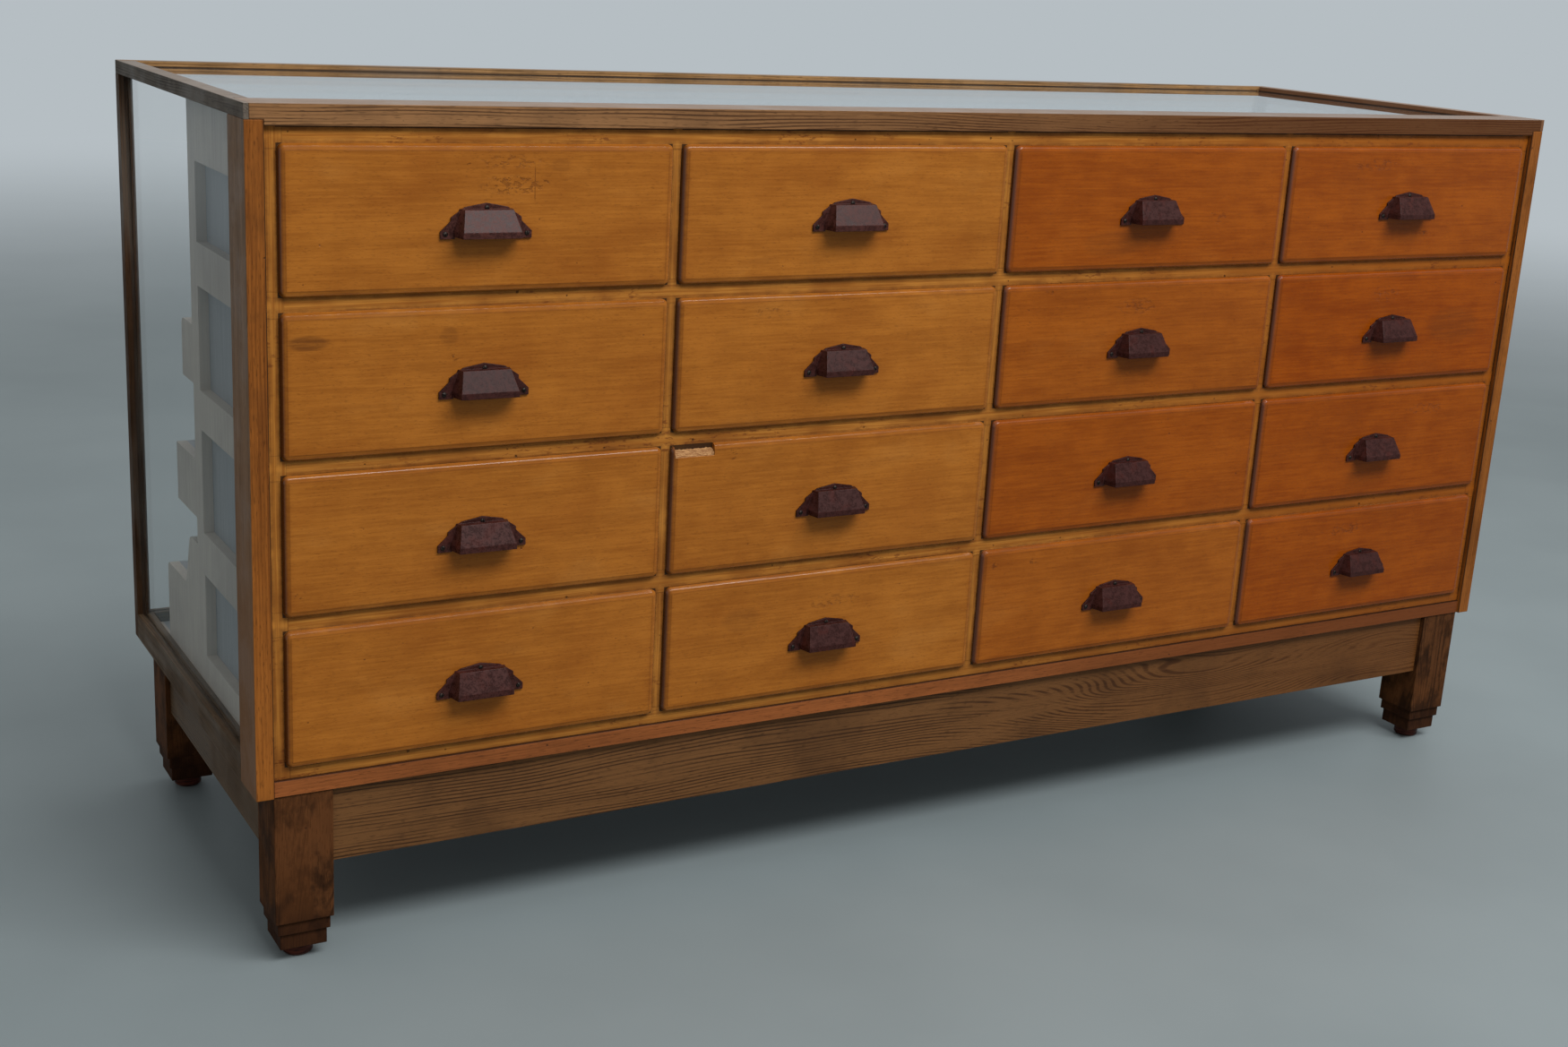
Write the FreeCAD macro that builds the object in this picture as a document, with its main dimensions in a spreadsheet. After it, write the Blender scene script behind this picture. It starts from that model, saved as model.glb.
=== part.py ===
import FreeCAD, Part
import os
import Sketcher

# A glazed shop counter with sixteen drawers, in millimetres.
# X runs along the counter, Y from the drawer side to the display side, Z up from the floor.
# The origin is under the middle of the whole object, pulls included.

ROWS = 4
COLUMNS = 4
TOP_ROW = 0
WINDOW_ROWS = ("one", "two", "three", "four")
CHIPPED_DRAWER = (2, 1)

DRIVING_SIZES = (
    ("case_width", 1830, "case, outside"),
    ("case_depth", 576, "case, outside"),
    ("case_height", 730, "case without its legs"),
    ("leg_height", 202, "floor to the underside of the case"),
    ("leg_width", 65, "square leg"),
    ("leg_end_inset", 20, "leg back from the end of the case"),
    ("leg_front_inset", 5, "leg back from the front and rear of the case"),
    ("leg_step", 3.2, "how far each step goes in"),
    ("upper_step_height", 15, "first step of the leg"),
    ("lower_step_height", 19, "second step of the leg"),
    ("glide_height", 16, "turned glide under the leg"),
    ("glide_diameter", 34, "turned glide"),
    ("glide_edge", 2.5, "bevel round the foot of the glide"),
    ("apron_height", 88, "plinth apron"),
    ("apron_thickness", 20, "plinth apron"),
    ("apron_inset", 6, "apron back from the face of the legs"),
    ("front_post_width", 20, "post at the drawer side, along the counter"),
    ("front_post_depth", 62, "post at the drawer side, front to back"),
    ("rear_post_size", 16, "slim square post at the display side"),
    ("front_rail_height", 22, "top rail over the drawers, between the posts"),
    ("end_rail_width", 25, "top rail at each end"),
    ("top_rail_height", 16, "top rails at the ends and the rear"),
    ("corner_lap", 5.5, "what the end rail keeps where it passes the front rail"),
    ("bottom_rail_height", 32, "rail under the end and rear panes"),
    ("bottom_rail_width", 20, "rail under the end panes"),
    ("base_rail_height", 18.5, "rail under the drawer frame"),
    ("base_rail_recess", 3, "base rail back from the front of the posts"),
    ("base_rail_thickness", 21, "rail under the drawer frame"),
    ("pane_thickness", 4, "end and rear panes"),
    ("pane_inset", 7, "pane back from the outside of the case"),
    ("groove_depth", 3, "groove that holds a pane"),
    ("pane_clearance", 0.3, "pane to the bottom of its groove"),
    ("top_glass_thickness", 5, "top glass"),
    ("top_glass_drop", 7.5, "top glass below the top of its rails"),
    ("top_rebate", 4.5, "ledge under the edge of the top glass"),
    ("top_glass_clearance", 0.5, "top glass to the side of its rebate"),
    ("floor_thickness", 12, "case floor"),
    ("frame_recess", 6, "drawer frame back from the front of the posts"),
    ("frame_thickness", 18, "drawer frame"),
    ("side_margin", 32.5, "outside of the case to the first drawer lip"),
    ("column_gap", 11, "between the lips of two drawers side by side"),
    ("top_margin", 38.5, "top of the case to the lip of the top drawers"),
    ("bottom_margin", 32.5, "underside of the case to the lip of the bottom drawers"),
    ("row_gap", 15, "between the lips of two drawers one above the other"),
    ("lip_overlap", 6, "how far a drawer lip covers the frame"),
    ("lip_thickness", 7.2, "drawer lip in front of the frame"),
    ("lip_corner_radius", 8, "rounded corners of a drawer front"),
    ("lip_slope_width", 7, "sloping border round the face of a drawer front"),
    ("lip_slope_depth", 2.2, "how far that border falls back"),
    ("lip_edge", 2.6, "eased edge outside the sloping border"),
    ("seat_clearance", 0.3, "lip to frame, and drawer to runner"),
    ("front_block_thickness", 11, "part of the drawer front inside the opening"),
    ("side_play", 1, "drawer to the side of its opening"),
    ("top_play", 3, "drawer to the top of its opening"),
    ("drawer_side_length", 268, "drawer side behind the front"),
    ("drawer_side_thickness", 10, "drawer side and back"),
    ("drawer_bottom_thickness", 5, "drawer bottom"),
    ("drawer_bottom_rise", 6, "drawer bottom above the edge of the sides"),
    ("bottom_groove_depth", 4, "groove in the drawer side for the bottom"),
    ("chip_length", 50, "broken corner of one drawer front, along the top"),
    ("chip_front_drop", 14, "broken corner of one drawer front, down from the top at its face"),
    ("chip_back_drop", 6.5, "the same at the back of the lip"),
    ("chip_start", 4, "broken corner, in from the side of the front"),
    ("partition_thickness", 18, "upright between two columns of drawers"),
    ("runner_width", 17.5, "drawer runner, out from the partition"),
    ("end_board_thickness", 12, "painted board inside the end pane"),
    ("end_board_inset", 20, "painted board in from the end of the case"),
    ("lining_thickness", 4, "panel behind the windows of the end board"),
    ("carcase_depth", 312, "front of the case to the straight rear edge of the end board"),
    ("carcase_back_thickness", 6, "back of the drawer carcase"),
    ("carcase_top_thickness", 6, "board over the drawers"),
    ("window_front", 72, "window of the end board, near edge"),
    ("window_rear", 281, "window of the end board, far edge"),
    ("window_one_low", 554, "top window above the underside of the case"),
    ("window_one_high", 643, "top window"),
    ("window_two_low", 386, "second window"),
    ("window_two_high", 505, "second window"),
    ("window_three_low", 218, "third window"),
    ("window_three_high", 340, "third window"),
    ("window_four_low", 67, "bottom window"),
    ("window_four_high", 167, "bottom window"),
    ("upper_shelf_reach", 362, "front of the case to the nose of the upper display shelf"),
    ("upper_shelf_top", 456, "upper display shelf"),
    ("upper_shelf_low", 388, "foot of its fascia"),
    ("middle_shelf_reach", 403, "front of the case to the nose of the middle display shelf"),
    ("middle_shelf_top", 298, "middle display shelf"),
    ("middle_shelf_low", 228, "foot of its fascia"),
    ("lower_shelf_reach", 468, "front of the case to the nose of the lower display shelf"),
    ("lower_shelf_top", 130, "lower display shelf"),
    ("sweep_shoulder_height", 196, "shoulder of the sweep above the lower shelf"),
    ("sweep_shoulder_reach", 351, "shoulder of the sweep"),
    ("sweep_foot_reach", 374, "foot of the sweep"),
    ("sweep_shoulder_radius", 14, "rounding of the shoulder"),
    ("sweep_foot_radius", 11, "rounding of the foot"),
    ("nose_radius", 9, "rounded nose of the upper and lower shelves"),
    ("shelf_thickness", 10, "display shelf"),
    ("fascia_thickness", 10, "upright under the nose of a display shelf"),
    ("pull_width", 101, "cup pull, over its ears"),
    ("pull_height", 37, "cup pull, peak to ears"),
    ("pull_plate_thickness", 2.6, "flat plate of the pull"),
    ("pull_projection", 22, "cup out from the drawer front"),
    ("pull_wall", 2.4, "wall of the cup"),
    ("pull_peak_half", 23.4, "half width at the end of the upper slopes"),
    ("pull_peak_drop", 4.2, "fall of the upper slopes"),
    ("pull_shoulder_half", 39, "half width at the shoulders"),
    ("pull_shoulder_drop", 14.8, "peak to shoulder"),
    ("pull_notch_drop", 18.6, "peak to the foot of the shoulder"),
    ("pull_ear_height", 7.6, "ear at each end"),
    ("cup_top_drop", 6.2, "peak to the top of the cup"),
    ("cup_top_projection", 10.6, "cup out from the drawer front at its top"),
    ("cup_top_half", 29.3, "half width of the cup against the plate, at its top"),
    ("cup_lip_drop", 28.4, "peak to the edge above the lip"),
    ("cup_lip_half", 37.4, "half width of the cup against the plate, at the edge above the lip"),
    ("cup_draft_angle", 12.3, "how far the sides of the cup lean in, in degrees"),
    ("cup_lip_height", 6.4, "upright lip along the foot of the cup"),
    ("pull_drop", 1.5, "middle of the pull below the middle of the drawer front"),
)

PLACES = (
    ("left", "-Sizes.case_width / 2"),
    ("under", "Sizes.leg_height"),
    ("lip_face", "Sizes.frame_recess - Sizes.seat_clearance - Sizes.lip_thickness"),
    ("pull_front", "Places.lip_face - Sizes.pull_projection"),
    ("front", "-(Sizes.case_depth + Places.pull_front) / 2"),
    ("lip_width", f"(Sizes.case_width - 2 * Sizes.side_margin - {COLUMNS - 1} * Sizes.column_gap) / {COLUMNS}"),
    ("rows_height", "Sizes.case_height - Sizes.top_margin - Sizes.bottom_margin"),
    ("lip_height", f"(Places.rows_height - {ROWS - 1} * Sizes.row_gap) / {ROWS}"),
    ("column_pitch", "Places.lip_width + Sizes.column_gap"),
    ("row_pitch", "Places.lip_height + Sizes.row_gap"),
    ("opening_width", "Places.lip_width - 2 * Sizes.lip_overlap"),
    ("opening_height", "Places.lip_height - 2 * Sizes.lip_overlap"),
    ("divider_width", "Sizes.column_gap + 2 * Sizes.lip_overlap"),
    ("middle_rail_height", "Sizes.row_gap + 2 * Sizes.lip_overlap"),
    ("stile_width", "Sizes.side_margin + Sizes.lip_overlap - Sizes.front_post_width"),
    ("first_opening", "Sizes.side_margin + Sizes.lip_overlap"),
    ("lowest_opening", "Sizes.bottom_margin + Sizes.lip_overlap"),
    ("frame_top", "Sizes.case_height - Sizes.front_rail_height"),
    ("front_rail_depth", "Sizes.front_post_depth - Sizes.groove_depth"),
    ("frame_back", "Sizes.frame_recess + Sizes.frame_thickness"),
    ("inner_width", "Sizes.case_width - 2 * Sizes.front_post_width"),
    ("post_top", "Sizes.case_height - Sizes.top_rail_height"),
    ("pane_slot", "Sizes.pane_thickness + 2 * Sizes.pane_clearance"),
    ("pane_slot_start", "Sizes.pane_inset - Sizes.pane_clearance"),
    ("rear_post_front", "Sizes.case_depth - Sizes.rear_post_size"),
    ("glass_bed", "Sizes.case_height - Sizes.top_glass_drop - Sizes.top_glass_thickness"),
    ("rebate_height", "Sizes.top_glass_drop + Sizes.top_glass_thickness"),
    ("carcase_top", "Places.frame_top - Sizes.carcase_top_thickness"),
    ("floor_top", "Sizes.base_rail_height"),
    ("carcase_height", "Places.carcase_top - Places.floor_top"),
    ("back_front", "Sizes.carcase_depth - 2 * Sizes.carcase_back_thickness"),
    ("back_rear", "Sizes.carcase_depth - Sizes.carcase_back_thickness"),
    ("lining_inside", "Sizes.end_board_inset + Sizes.end_board_thickness + Sizes.lining_thickness"),
    ("board_inside", "Sizes.end_board_inset + Sizes.end_board_thickness"),
    ("box_width", "Places.opening_width - 2 * Sizes.side_play"),
    ("box_height", "Places.opening_height - Sizes.seat_clearance - Sizes.top_play"),
    ("lip_back", "Sizes.lip_thickness"),
    ("block_back", "Sizes.lip_thickness + Sizes.front_block_thickness"),
    ("ear_drop", "Sizes.pull_height - Sizes.pull_ear_height"),
)

document = FreeCAD.newDocument("haberdashery_cabinet")


def fill_sheet(name, rows):
    """Writes one sheet of named cells. A driving size is a number, a place is a formula."""
    sheet = document.addObject("Spreadsheet::Sheet", name)
    for row, (alias, content, *note) in enumerate(rows, start=1):
        is_formula = isinstance(content, str)
        sheet.set(f"A{row}", alias)
        sheet.set(f"B{row}", f"={content}" if is_formula else str(content))
        sheet.set(f"C{row}", note[0] if note else "worked out")
        sheet.setAlias(f"B{row}", alias)
    document.recompute()
    return sheet


sizes = fill_sheet("Sizes", DRIVING_SIZES)
fill_sheet("Places", PLACES)


def value(formula):
    """The number that a formula gives now."""
    return float(sizes.evalExpression(formula))


def place_in_case(thing, corner):
    """Puts a piece's own origin at a corner counted from the case's left, front, bottom corner."""
    for axis, start, formula in zip("xyz", ("left", "front", "under"), corner):
        thing.setExpression(f"Placement.Base.{axis}", f"Places.{start} + {formula}")


def board(name, corner, length, depth, height):
    """A plain sawn board, with its low corner counted from the case's corner."""
    box = document.addObject("Part::Box", name)
    box.setExpression("Length", length)
    box.setExpression("Width", depth)
    box.setExpression("Height", height)
    place_in_case(box, corner)
    return box


def new_body(name, corner=None):
    """A worked piece in its own coordinates."""
    body = document.addObject("PartDesign::Body", name)
    if corner:
        place_in_case(body, corner)
    return body


def origin_plane(body, role):
    return next(item for item in body.Origin.OriginFeatures if item.Role == role)


def outline(body, role, points, lift="0"):
    """A closed outline on one of the body's planes, each corner bound to its two formulas."""
    sketch = body.newObject("Sketcher::SketchObject", f"{body.Name}_outline")
    sketch.AttachmentSupport = [(origin_plane(body, role), "")]
    sketch.MapMode = "FlatFace"
    sketch.setExpression("AttachmentOffset.Base.z", lift)
    corners = [FreeCAD.Vector(value(across), value(up), 0) for across, up in points]
    count = len(corners)
    for index in range(count):
        sketch.addGeometry(Part.LineSegment(corners[index], corners[(index + 1) % count]))
    for index in range(count):
        sketch.addConstraint(Sketcher.Constraint("Coincident", index, 2, (index + 1) % count, 1))
    for index, (across, up) in enumerate(points):
        bind_corner(sketch, "DistanceX", index, across)
        bind_corner(sketch, "DistanceY", index, up)
    return sketch


def bind_corner(sketch, kind, index, formula):
    number = sketch.addConstraint(Sketcher.Constraint(kind, -1, 1, index, 1, value(formula)))
    sketch.setExpression(f"Constraints[{number}]", formula)


def rectangle(low_across, low_up, high_across, high_up):
    return ((low_across, low_up), (high_across, low_up), (high_across, high_up), (low_across, high_up))


def centred_rectangle(across, up):
    return rectangle(f"-({across}) / 2", f"-({up}) / 2", f"({across}) / 2", f"({up}) / 2")


def pad(body, sketch, length, backwards=False):
    feature = body.newObject("PartDesign::Pad", f"{body.Name}_pad")
    feature.Profile = sketch
    feature.setExpression("Length", length)
    feature.Reversed = backwards
    return feature


def pocket(body, sketch, depth, backwards=False):
    """A cut that has to take material away."""
    document.recompute()
    before = body.Shape.Volume
    feature = body.newObject("PartDesign::Pocket", f"{body.Name}_pocket")
    feature.Profile = sketch
    feature.setExpression("Length", depth)
    feature.Reversed = backwards
    document.recompute()
    if body.Shape.Volume > before - 1:
        raise RuntimeError(f"a pocket of {body.Name} cuts nothing")
    return feature


def dress_up(body, kind, wanted):
    """A feature on the edges of the body's newest shape that the test accepts."""
    document.recompute()
    base = body.Tip
    names = [f"Edge{number}" for number, edge in enumerate(base.Shape.Edges, start=1) if wanted(edge)]
    if not names:
        raise RuntimeError(f"{kind} of {body.Name} finds no edge")
    feature = body.newObject(kind, f"{body.Name}_edges")
    feature.Base = (base, names)
    return feature


def fillet(body, radius, wanted):
    dress_up(body, "PartDesign::Fillet", wanted).setExpression("Radius", radius)


def ease(body, size, wanted):
    dress_up(body, "PartDesign::Chamfer", wanted).setExpression("Size", size)


def is_parallel(edge, axis):
    if not isinstance(edge.Curve, Part.Line):
        return False
    return abs(abs(edge.Curve.Direction.dot(axis)) - 1) < 1e-6


def lies_at(edge, tolerance=0.01, **wanted):
    """Whether every point of a straight or curved edge has the given coordinate."""
    box = edge.BoundBox
    spans = {"x": (box.XMin, box.XMax), "y": (box.YMin, box.YMax), "z": (box.ZMin, box.ZMax)}
    return all(
        abs(spans[axis][0] - at) < tolerance and abs(spans[axis][1] - at) < tolerance
        for axis, at in wanted.items()
    )


def group(name, members, corner=None):
    """Several solids kept as one node."""
    compound = document.addObject("Part::Compound", name)
    compound.Links = members
    if corner:
        place_in_case(compound, corner)
    return compound


X_AXIS = FreeCAD.Vector(1, 0, 0)
Y_AXIS = FreeCAD.Vector(0, 1, 0)

ENDS = (("left", False), ("right", True))


def at_end(is_right, offset, width):
    """The low X of a piece that sits the same distance in from either end of the case."""
    return f"Sizes.case_width - ({offset}) - ({width})" if is_right else offset


def make_legs():
    """Square legs that step in twice near the floor, each a block, a step and a narrower step."""
    block_height = "Sizes.leg_height - Sizes.glide_height - Sizes.upper_step_height - Sizes.lower_step_height"
    steps = (
        ("0", "Sizes.leg_height - (" + block_height + ")", block_height),
        ("Sizes.leg_step", "Sizes.glide_height + Sizes.lower_step_height", "Sizes.upper_step_height"),
        ("2 * Sizes.leg_step", "Sizes.glide_height", "Sizes.lower_step_height"),
    )
    nodes = []
    for side, is_right in ENDS:
        across = at_end(is_right, "Sizes.leg_end_inset", "Sizes.leg_width")
        for end in ("front", "rear"):
            along = leg_front(end)
            leg = new_body(f"leg_{end}_{side}", (f"{across} + Sizes.leg_width / 2",
                                                 f"{along} + Sizes.leg_width / 2",
                                                 "-Sizes.leg_height"))
            for inset, low, height in steps:
                width = f"Sizes.leg_width - 2 * ({inset})"
                pad(leg, outline(leg, "XY_Plane", centred_rectangle(width, width), low), height)
            nodes.append(leg)
    return nodes


def leg_front(end):
    """The low Y of a front or rear leg."""
    if end == "front":
        return "Sizes.leg_front_inset"
    return "Sizes.case_depth - Sizes.leg_front_inset - Sizes.leg_width"


def make_glides():
    """Turned glides with a bevelled foot, one under each leg."""
    master = new_body("glide")
    rim = "Sizes.glide_diameter / 2"
    profile = outline(master, "XZ_Plane", (
        ("0", "0"), (f"{rim} - Sizes.glide_edge", "0"), (rim, "Sizes.glide_edge"),
        (rim, "Sizes.glide_height"), ("0", "Sizes.glide_height"),
    ))
    turned = master.newObject("PartDesign::Revolution", "glide_turning")
    turned.Profile = profile
    turned.ReferenceAxis = (profile, ["V_Axis"])
    turned.Angle = 360
    copies = []
    for side, is_right in ENDS:
        across = at_end(is_right, "Sizes.leg_end_inset", "Sizes.leg_width")
        for end in ("front", "rear"):
            corner = (f"{across} + Sizes.leg_width / 2", f"{leg_front(end)} + Sizes.leg_width / 2",
                      "-Sizes.leg_height")
            copies.append(group(f"glide_{end}_{side}", [master], corner))
    return [group("leg_glides", copies)]


def make_aprons():
    """The boards between the legs, a little behind their faces."""
    low = "-Sizes.apron_height"
    clear_length = "Sizes.case_width - 2 * Sizes.leg_end_inset - 2 * Sizes.leg_width"
    clear_depth = "Sizes.case_depth - 2 * Sizes.leg_front_inset - 2 * Sizes.leg_width"
    front = "Sizes.leg_front_inset + Sizes.apron_inset"
    side = "Sizes.leg_end_inset + Sizes.apron_inset"
    past_leg = "Sizes.leg_end_inset + Sizes.leg_width"
    long_boards = [
        board("apron_front", (past_leg, front, low), clear_length, "Sizes.apron_thickness", "Sizes.apron_height"),
        board("apron_rear", (past_leg, f"Sizes.case_depth - ({front}) - Sizes.apron_thickness", low),
              clear_length, "Sizes.apron_thickness", "Sizes.apron_height"),
    ]
    short_boards = [
        board(f"apron_{name}",
              (at_end(is_right, side, "Sizes.apron_thickness"), "Sizes.leg_front_inset + Sizes.leg_width", low),
              "Sizes.apron_thickness", clear_depth, "Sizes.apron_height")
        for name, is_right in ENDS
    ]
    return [group("plinth_aprons", long_boards + short_boards)]


def make_front_posts():
    """Wide posts at the drawer side, with a groove down the rear edge for the end pane."""
    nodes = []
    for side, is_right in ENDS:
        post = new_body(f"post_front_{side}", (at_end(is_right, "0", "Sizes.front_post_width"), "0", "0"))
        pad(post, outline(post, "XY_Plane", rectangle("0", "0", "Sizes.front_post_width", "Sizes.front_post_depth")),
            "Places.post_top")
        slot = slot_start(is_right, "Sizes.front_post_width")
        groove = outline(post, "XY_Plane", rectangle(
            slot, "Sizes.front_post_depth - Sizes.groove_depth",
            f"{slot} + Places.pane_slot", "Sizes.front_post_depth"))
        pocket(post, groove, "Places.post_top", backwards=True)
        nodes.append(post)
    return nodes


def slot_start(is_right, width):
    """Where a pane's groove starts across a piece of the given width at either end."""
    if is_right:
        return f"{width} - Places.pane_slot_start - Places.pane_slot"
    return "Places.pane_slot_start"


def make_rear_posts():
    """Slim posts at the display side, grooved for the end pane and for the rear pane."""
    members = []
    size = "Sizes.rear_post_size"
    for side, is_right in ENDS:
        post = new_body(f"post_rear_{side}", (at_end(is_right, "0", size), "Places.rear_post_front", "0"))
        pad(post, outline(post, "XY_Plane", rectangle("0", "0", size, size)), "Places.post_top")
        slot = slot_start(is_right, size)
        end_groove = outline(post, "XY_Plane", rectangle(
            slot, "0", f"{slot} + Places.pane_slot", "Sizes.groove_depth"))
        pocket(post, end_groove, "Places.post_top", backwards=True)
        inner = "0" if is_right else f"{size} - Sizes.groove_depth"
        rear_slot = f"{size} - Places.pane_slot_start - Places.pane_slot"
        rear_groove = outline(post, "XY_Plane", rectangle(
            inner, rear_slot, f"{inner} + Sizes.groove_depth", f"{rear_slot} + Places.pane_slot"))
        pocket(post, rear_groove, "Places.post_top", backwards=True)
        members.append(post)
    return [group("posts_rear", members)]


def make_top_front_rail():
    """The wide rail over the drawers, notched over the posts and rebated for the top glass."""
    length = "Sizes.case_width - 2 * Sizes.corner_lap"
    notch = "Sizes.front_post_width - Sizes.corner_lap"
    step = "Sizes.front_rail_height - Sizes.top_rail_height"
    rail = new_body("top_rail_front", ("Sizes.corner_lap", "0", "Places.frame_top"))
    profile = (
        ("0", step), (notch, step), (notch, "0"), (f"{length} - ({notch})", "0"),
        (f"{length} - ({notch})", step), (length, step),
        (length, "Sizes.front_rail_height"), ("0", "Sizes.front_rail_height"),
    )
    pad(rail, outline(rail, "XZ_Plane", profile), "Places.front_rail_depth", backwards=True)
    rebate = outline(rail, "YZ_Plane", rectangle(
        "Places.front_rail_depth - Sizes.top_rebate", "Sizes.front_rail_height - Places.rebate_height",
        "Places.front_rail_depth", "Sizes.front_rail_height"))
    pocket(rail, rebate, length, backwards=True)
    return [rail]


def make_top_end_rails():
    """End rails that run the whole depth and lap over the ends of the front and rear rails."""
    members = []
    width = "Sizes.end_rail_width"
    high = "Sizes.top_rail_height"
    for side, is_right in ENDS:
        rail = new_body(f"top_rail_{side}", (at_end(is_right, "0", width), "0", "Places.post_top"))
        outer = width if is_right else "0"
        lap = f"{width} - Sizes.corner_lap" if is_right else "Sizes.corner_lap"
        inner = "0" if is_right else width
        plan = (
            (outer, "0"), (lap, "0"), (lap, "Places.front_rail_depth"), (inner, "Places.front_rail_depth"),
            (inner, "Places.rear_post_front"), (lap, "Places.rear_post_front"),
            (lap, "Sizes.case_depth"), (outer, "Sizes.case_depth"),
        )
        pad(rail, outline(rail, "XY_Plane", plan), high)
        ledge = "0" if is_right else f"{width} - Sizes.top_rebate"
        rebate = outline(rail, "XZ_Plane", rectangle(
            ledge, f"{high} - Places.rebate_height", f"{ledge} + Sizes.top_rebate", high))
        pocket(rail, rebate, "Sizes.case_depth")
        slot = slot_start(is_right, width)
        groove = outline(rail, "XY_Plane", rectangle(
            slot, "Sizes.front_post_depth - Sizes.groove_depth",
            f"{slot} + Places.pane_slot", "Places.rear_post_front + Sizes.groove_depth"))
        pocket(rail, groove, "Sizes.groove_depth", backwards=True)
        members.append(rail)
    return [group("top_rails_end", members)]


def make_top_rear_rail():
    """The slim rear rail, rebated for the top glass and grooved for the rear pane."""
    length = "Sizes.case_width - 2 * Sizes.corner_lap"
    depth = "Sizes.rear_post_size"
    high = "Sizes.top_rail_height"
    slot = f"{depth} - Places.pane_slot_start - Places.pane_slot"
    rail = new_body("top_rail_rear", ("Sizes.corner_lap", "Places.rear_post_front", "Places.post_top"))
    profile = (
        ("0", "0"), (slot, "0"), (slot, "Sizes.groove_depth"), (f"{slot} + Places.pane_slot", "Sizes.groove_depth"),
        (f"{slot} + Places.pane_slot", "0"), (depth, "0"), (depth, high),
        ("Sizes.top_rebate", high), ("Sizes.top_rebate", f"{high} - Places.rebate_height"),
        ("0", f"{high} - Places.rebate_height"),
    )
    pad(rail, outline(rail, "YZ_Plane", profile), length)
    from_end = "Places.pane_slot_start - Sizes.corner_lap"
    for start in (from_end, f"{length} - ({from_end}) - Places.pane_slot"):
        run_out = outline(rail, "XY_Plane", rectangle(
            start, "0", f"{start} + Places.pane_slot", "Sizes.groove_depth"))
        pocket(rail, run_out, "Sizes.groove_depth", backwards=True)
    return [rail]


def make_bottom_rails():
    """Rails under the end panes and the rear pane, each with a groove along its top."""
    high = "Sizes.bottom_rail_height"
    width = "Sizes.bottom_rail_width"
    length = "Places.rear_post_front - Sizes.front_post_depth"
    members = []
    for side, is_right in ENDS:
        rail = new_body(f"bottom_rail_{side}", (at_end(is_right, "0", width), "Sizes.front_post_depth", "0"))
        pad(rail, outline(rail, "XZ_Plane", grooved_profile(width, high, slot_start(is_right, width))),
            length, backwards=True)
        members.append(rail)
    depth = "Sizes.rear_post_size"
    slot = f"{depth} - Places.pane_slot_start - Places.pane_slot"
    rear = new_body("bottom_rail_rear", (depth, "Places.rear_post_front", "0"))
    pad(rear, outline(rear, "YZ_Plane", grooved_profile(depth, high, slot)), f"Sizes.case_width - 2 * {depth}")
    return [group("bottom_rails_end", members), rear]


def grooved_profile(width, height, slot):
    """A rail's section with a pane groove sunk in its top edge."""
    bottom = f"{height} - Sizes.groove_depth"
    return (
        ("0", "0"), (width, "0"), (width, height), (f"{slot} + Places.pane_slot", height),
        (f"{slot} + Places.pane_slot", bottom), (slot, bottom), (slot, height), ("0", height),
    )


def make_base_rail():
    return [board("base_rail_front", ("Sizes.front_post_width", "Sizes.base_rail_recess", "0"),
                  "Places.inner_width", "Sizes.base_rail_thickness", "Sizes.base_rail_height")]


def make_panes():
    """Four panes. The upright ones stand in the grooves, the top one lies in the rebates."""
    grip = "Sizes.groove_depth - Sizes.pane_clearance"
    low = f"Sizes.bottom_rail_height - ({grip})"
    high = f"Places.post_top + {grip}"
    tall = f"{high} - ({low})"
    nodes = []
    for side, is_right in ENDS:
        nodes.append(board(
            f"glass_{side}",
            (at_end(is_right, "Sizes.pane_inset", "Sizes.pane_thickness"), f"Sizes.front_post_depth - ({grip})", low),
            "Sizes.pane_thickness", f"Places.rear_post_front - Sizes.front_post_depth + 2 * ({grip})", tall))
    rear_start = f"Sizes.rear_post_size - ({grip})"
    nodes.append(board(
        "glass_rear", (rear_start, "Sizes.case_depth - Sizes.pane_inset - Sizes.pane_thickness", low),
        f"Sizes.case_width - 2 * ({rear_start})", "Sizes.pane_thickness", tall))
    side_start = "Sizes.end_rail_width - Sizes.top_rebate + Sizes.top_glass_clearance"
    front_start = "Places.front_rail_depth - Sizes.top_rebate + Sizes.top_glass_clearance"
    rear_end = "Places.rear_post_front + Sizes.top_rebate - Sizes.top_glass_clearance"
    nodes.append(board(
        "glass_top", (side_start, front_start, "Places.glass_bed"),
        f"Sizes.case_width - 2 * ({side_start})", f"{rear_end} - ({front_start})", "Sizes.top_glass_thickness"))
    return nodes


def opening_left(column):
    return f"Places.first_opening + {column} * Places.column_pitch"


def opening_low(row):
    """The bottom of a drawer opening. Row 0 is the top one."""
    return f"Places.lowest_opening + {ROWS - 1 - row} * Places.row_pitch"


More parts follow.
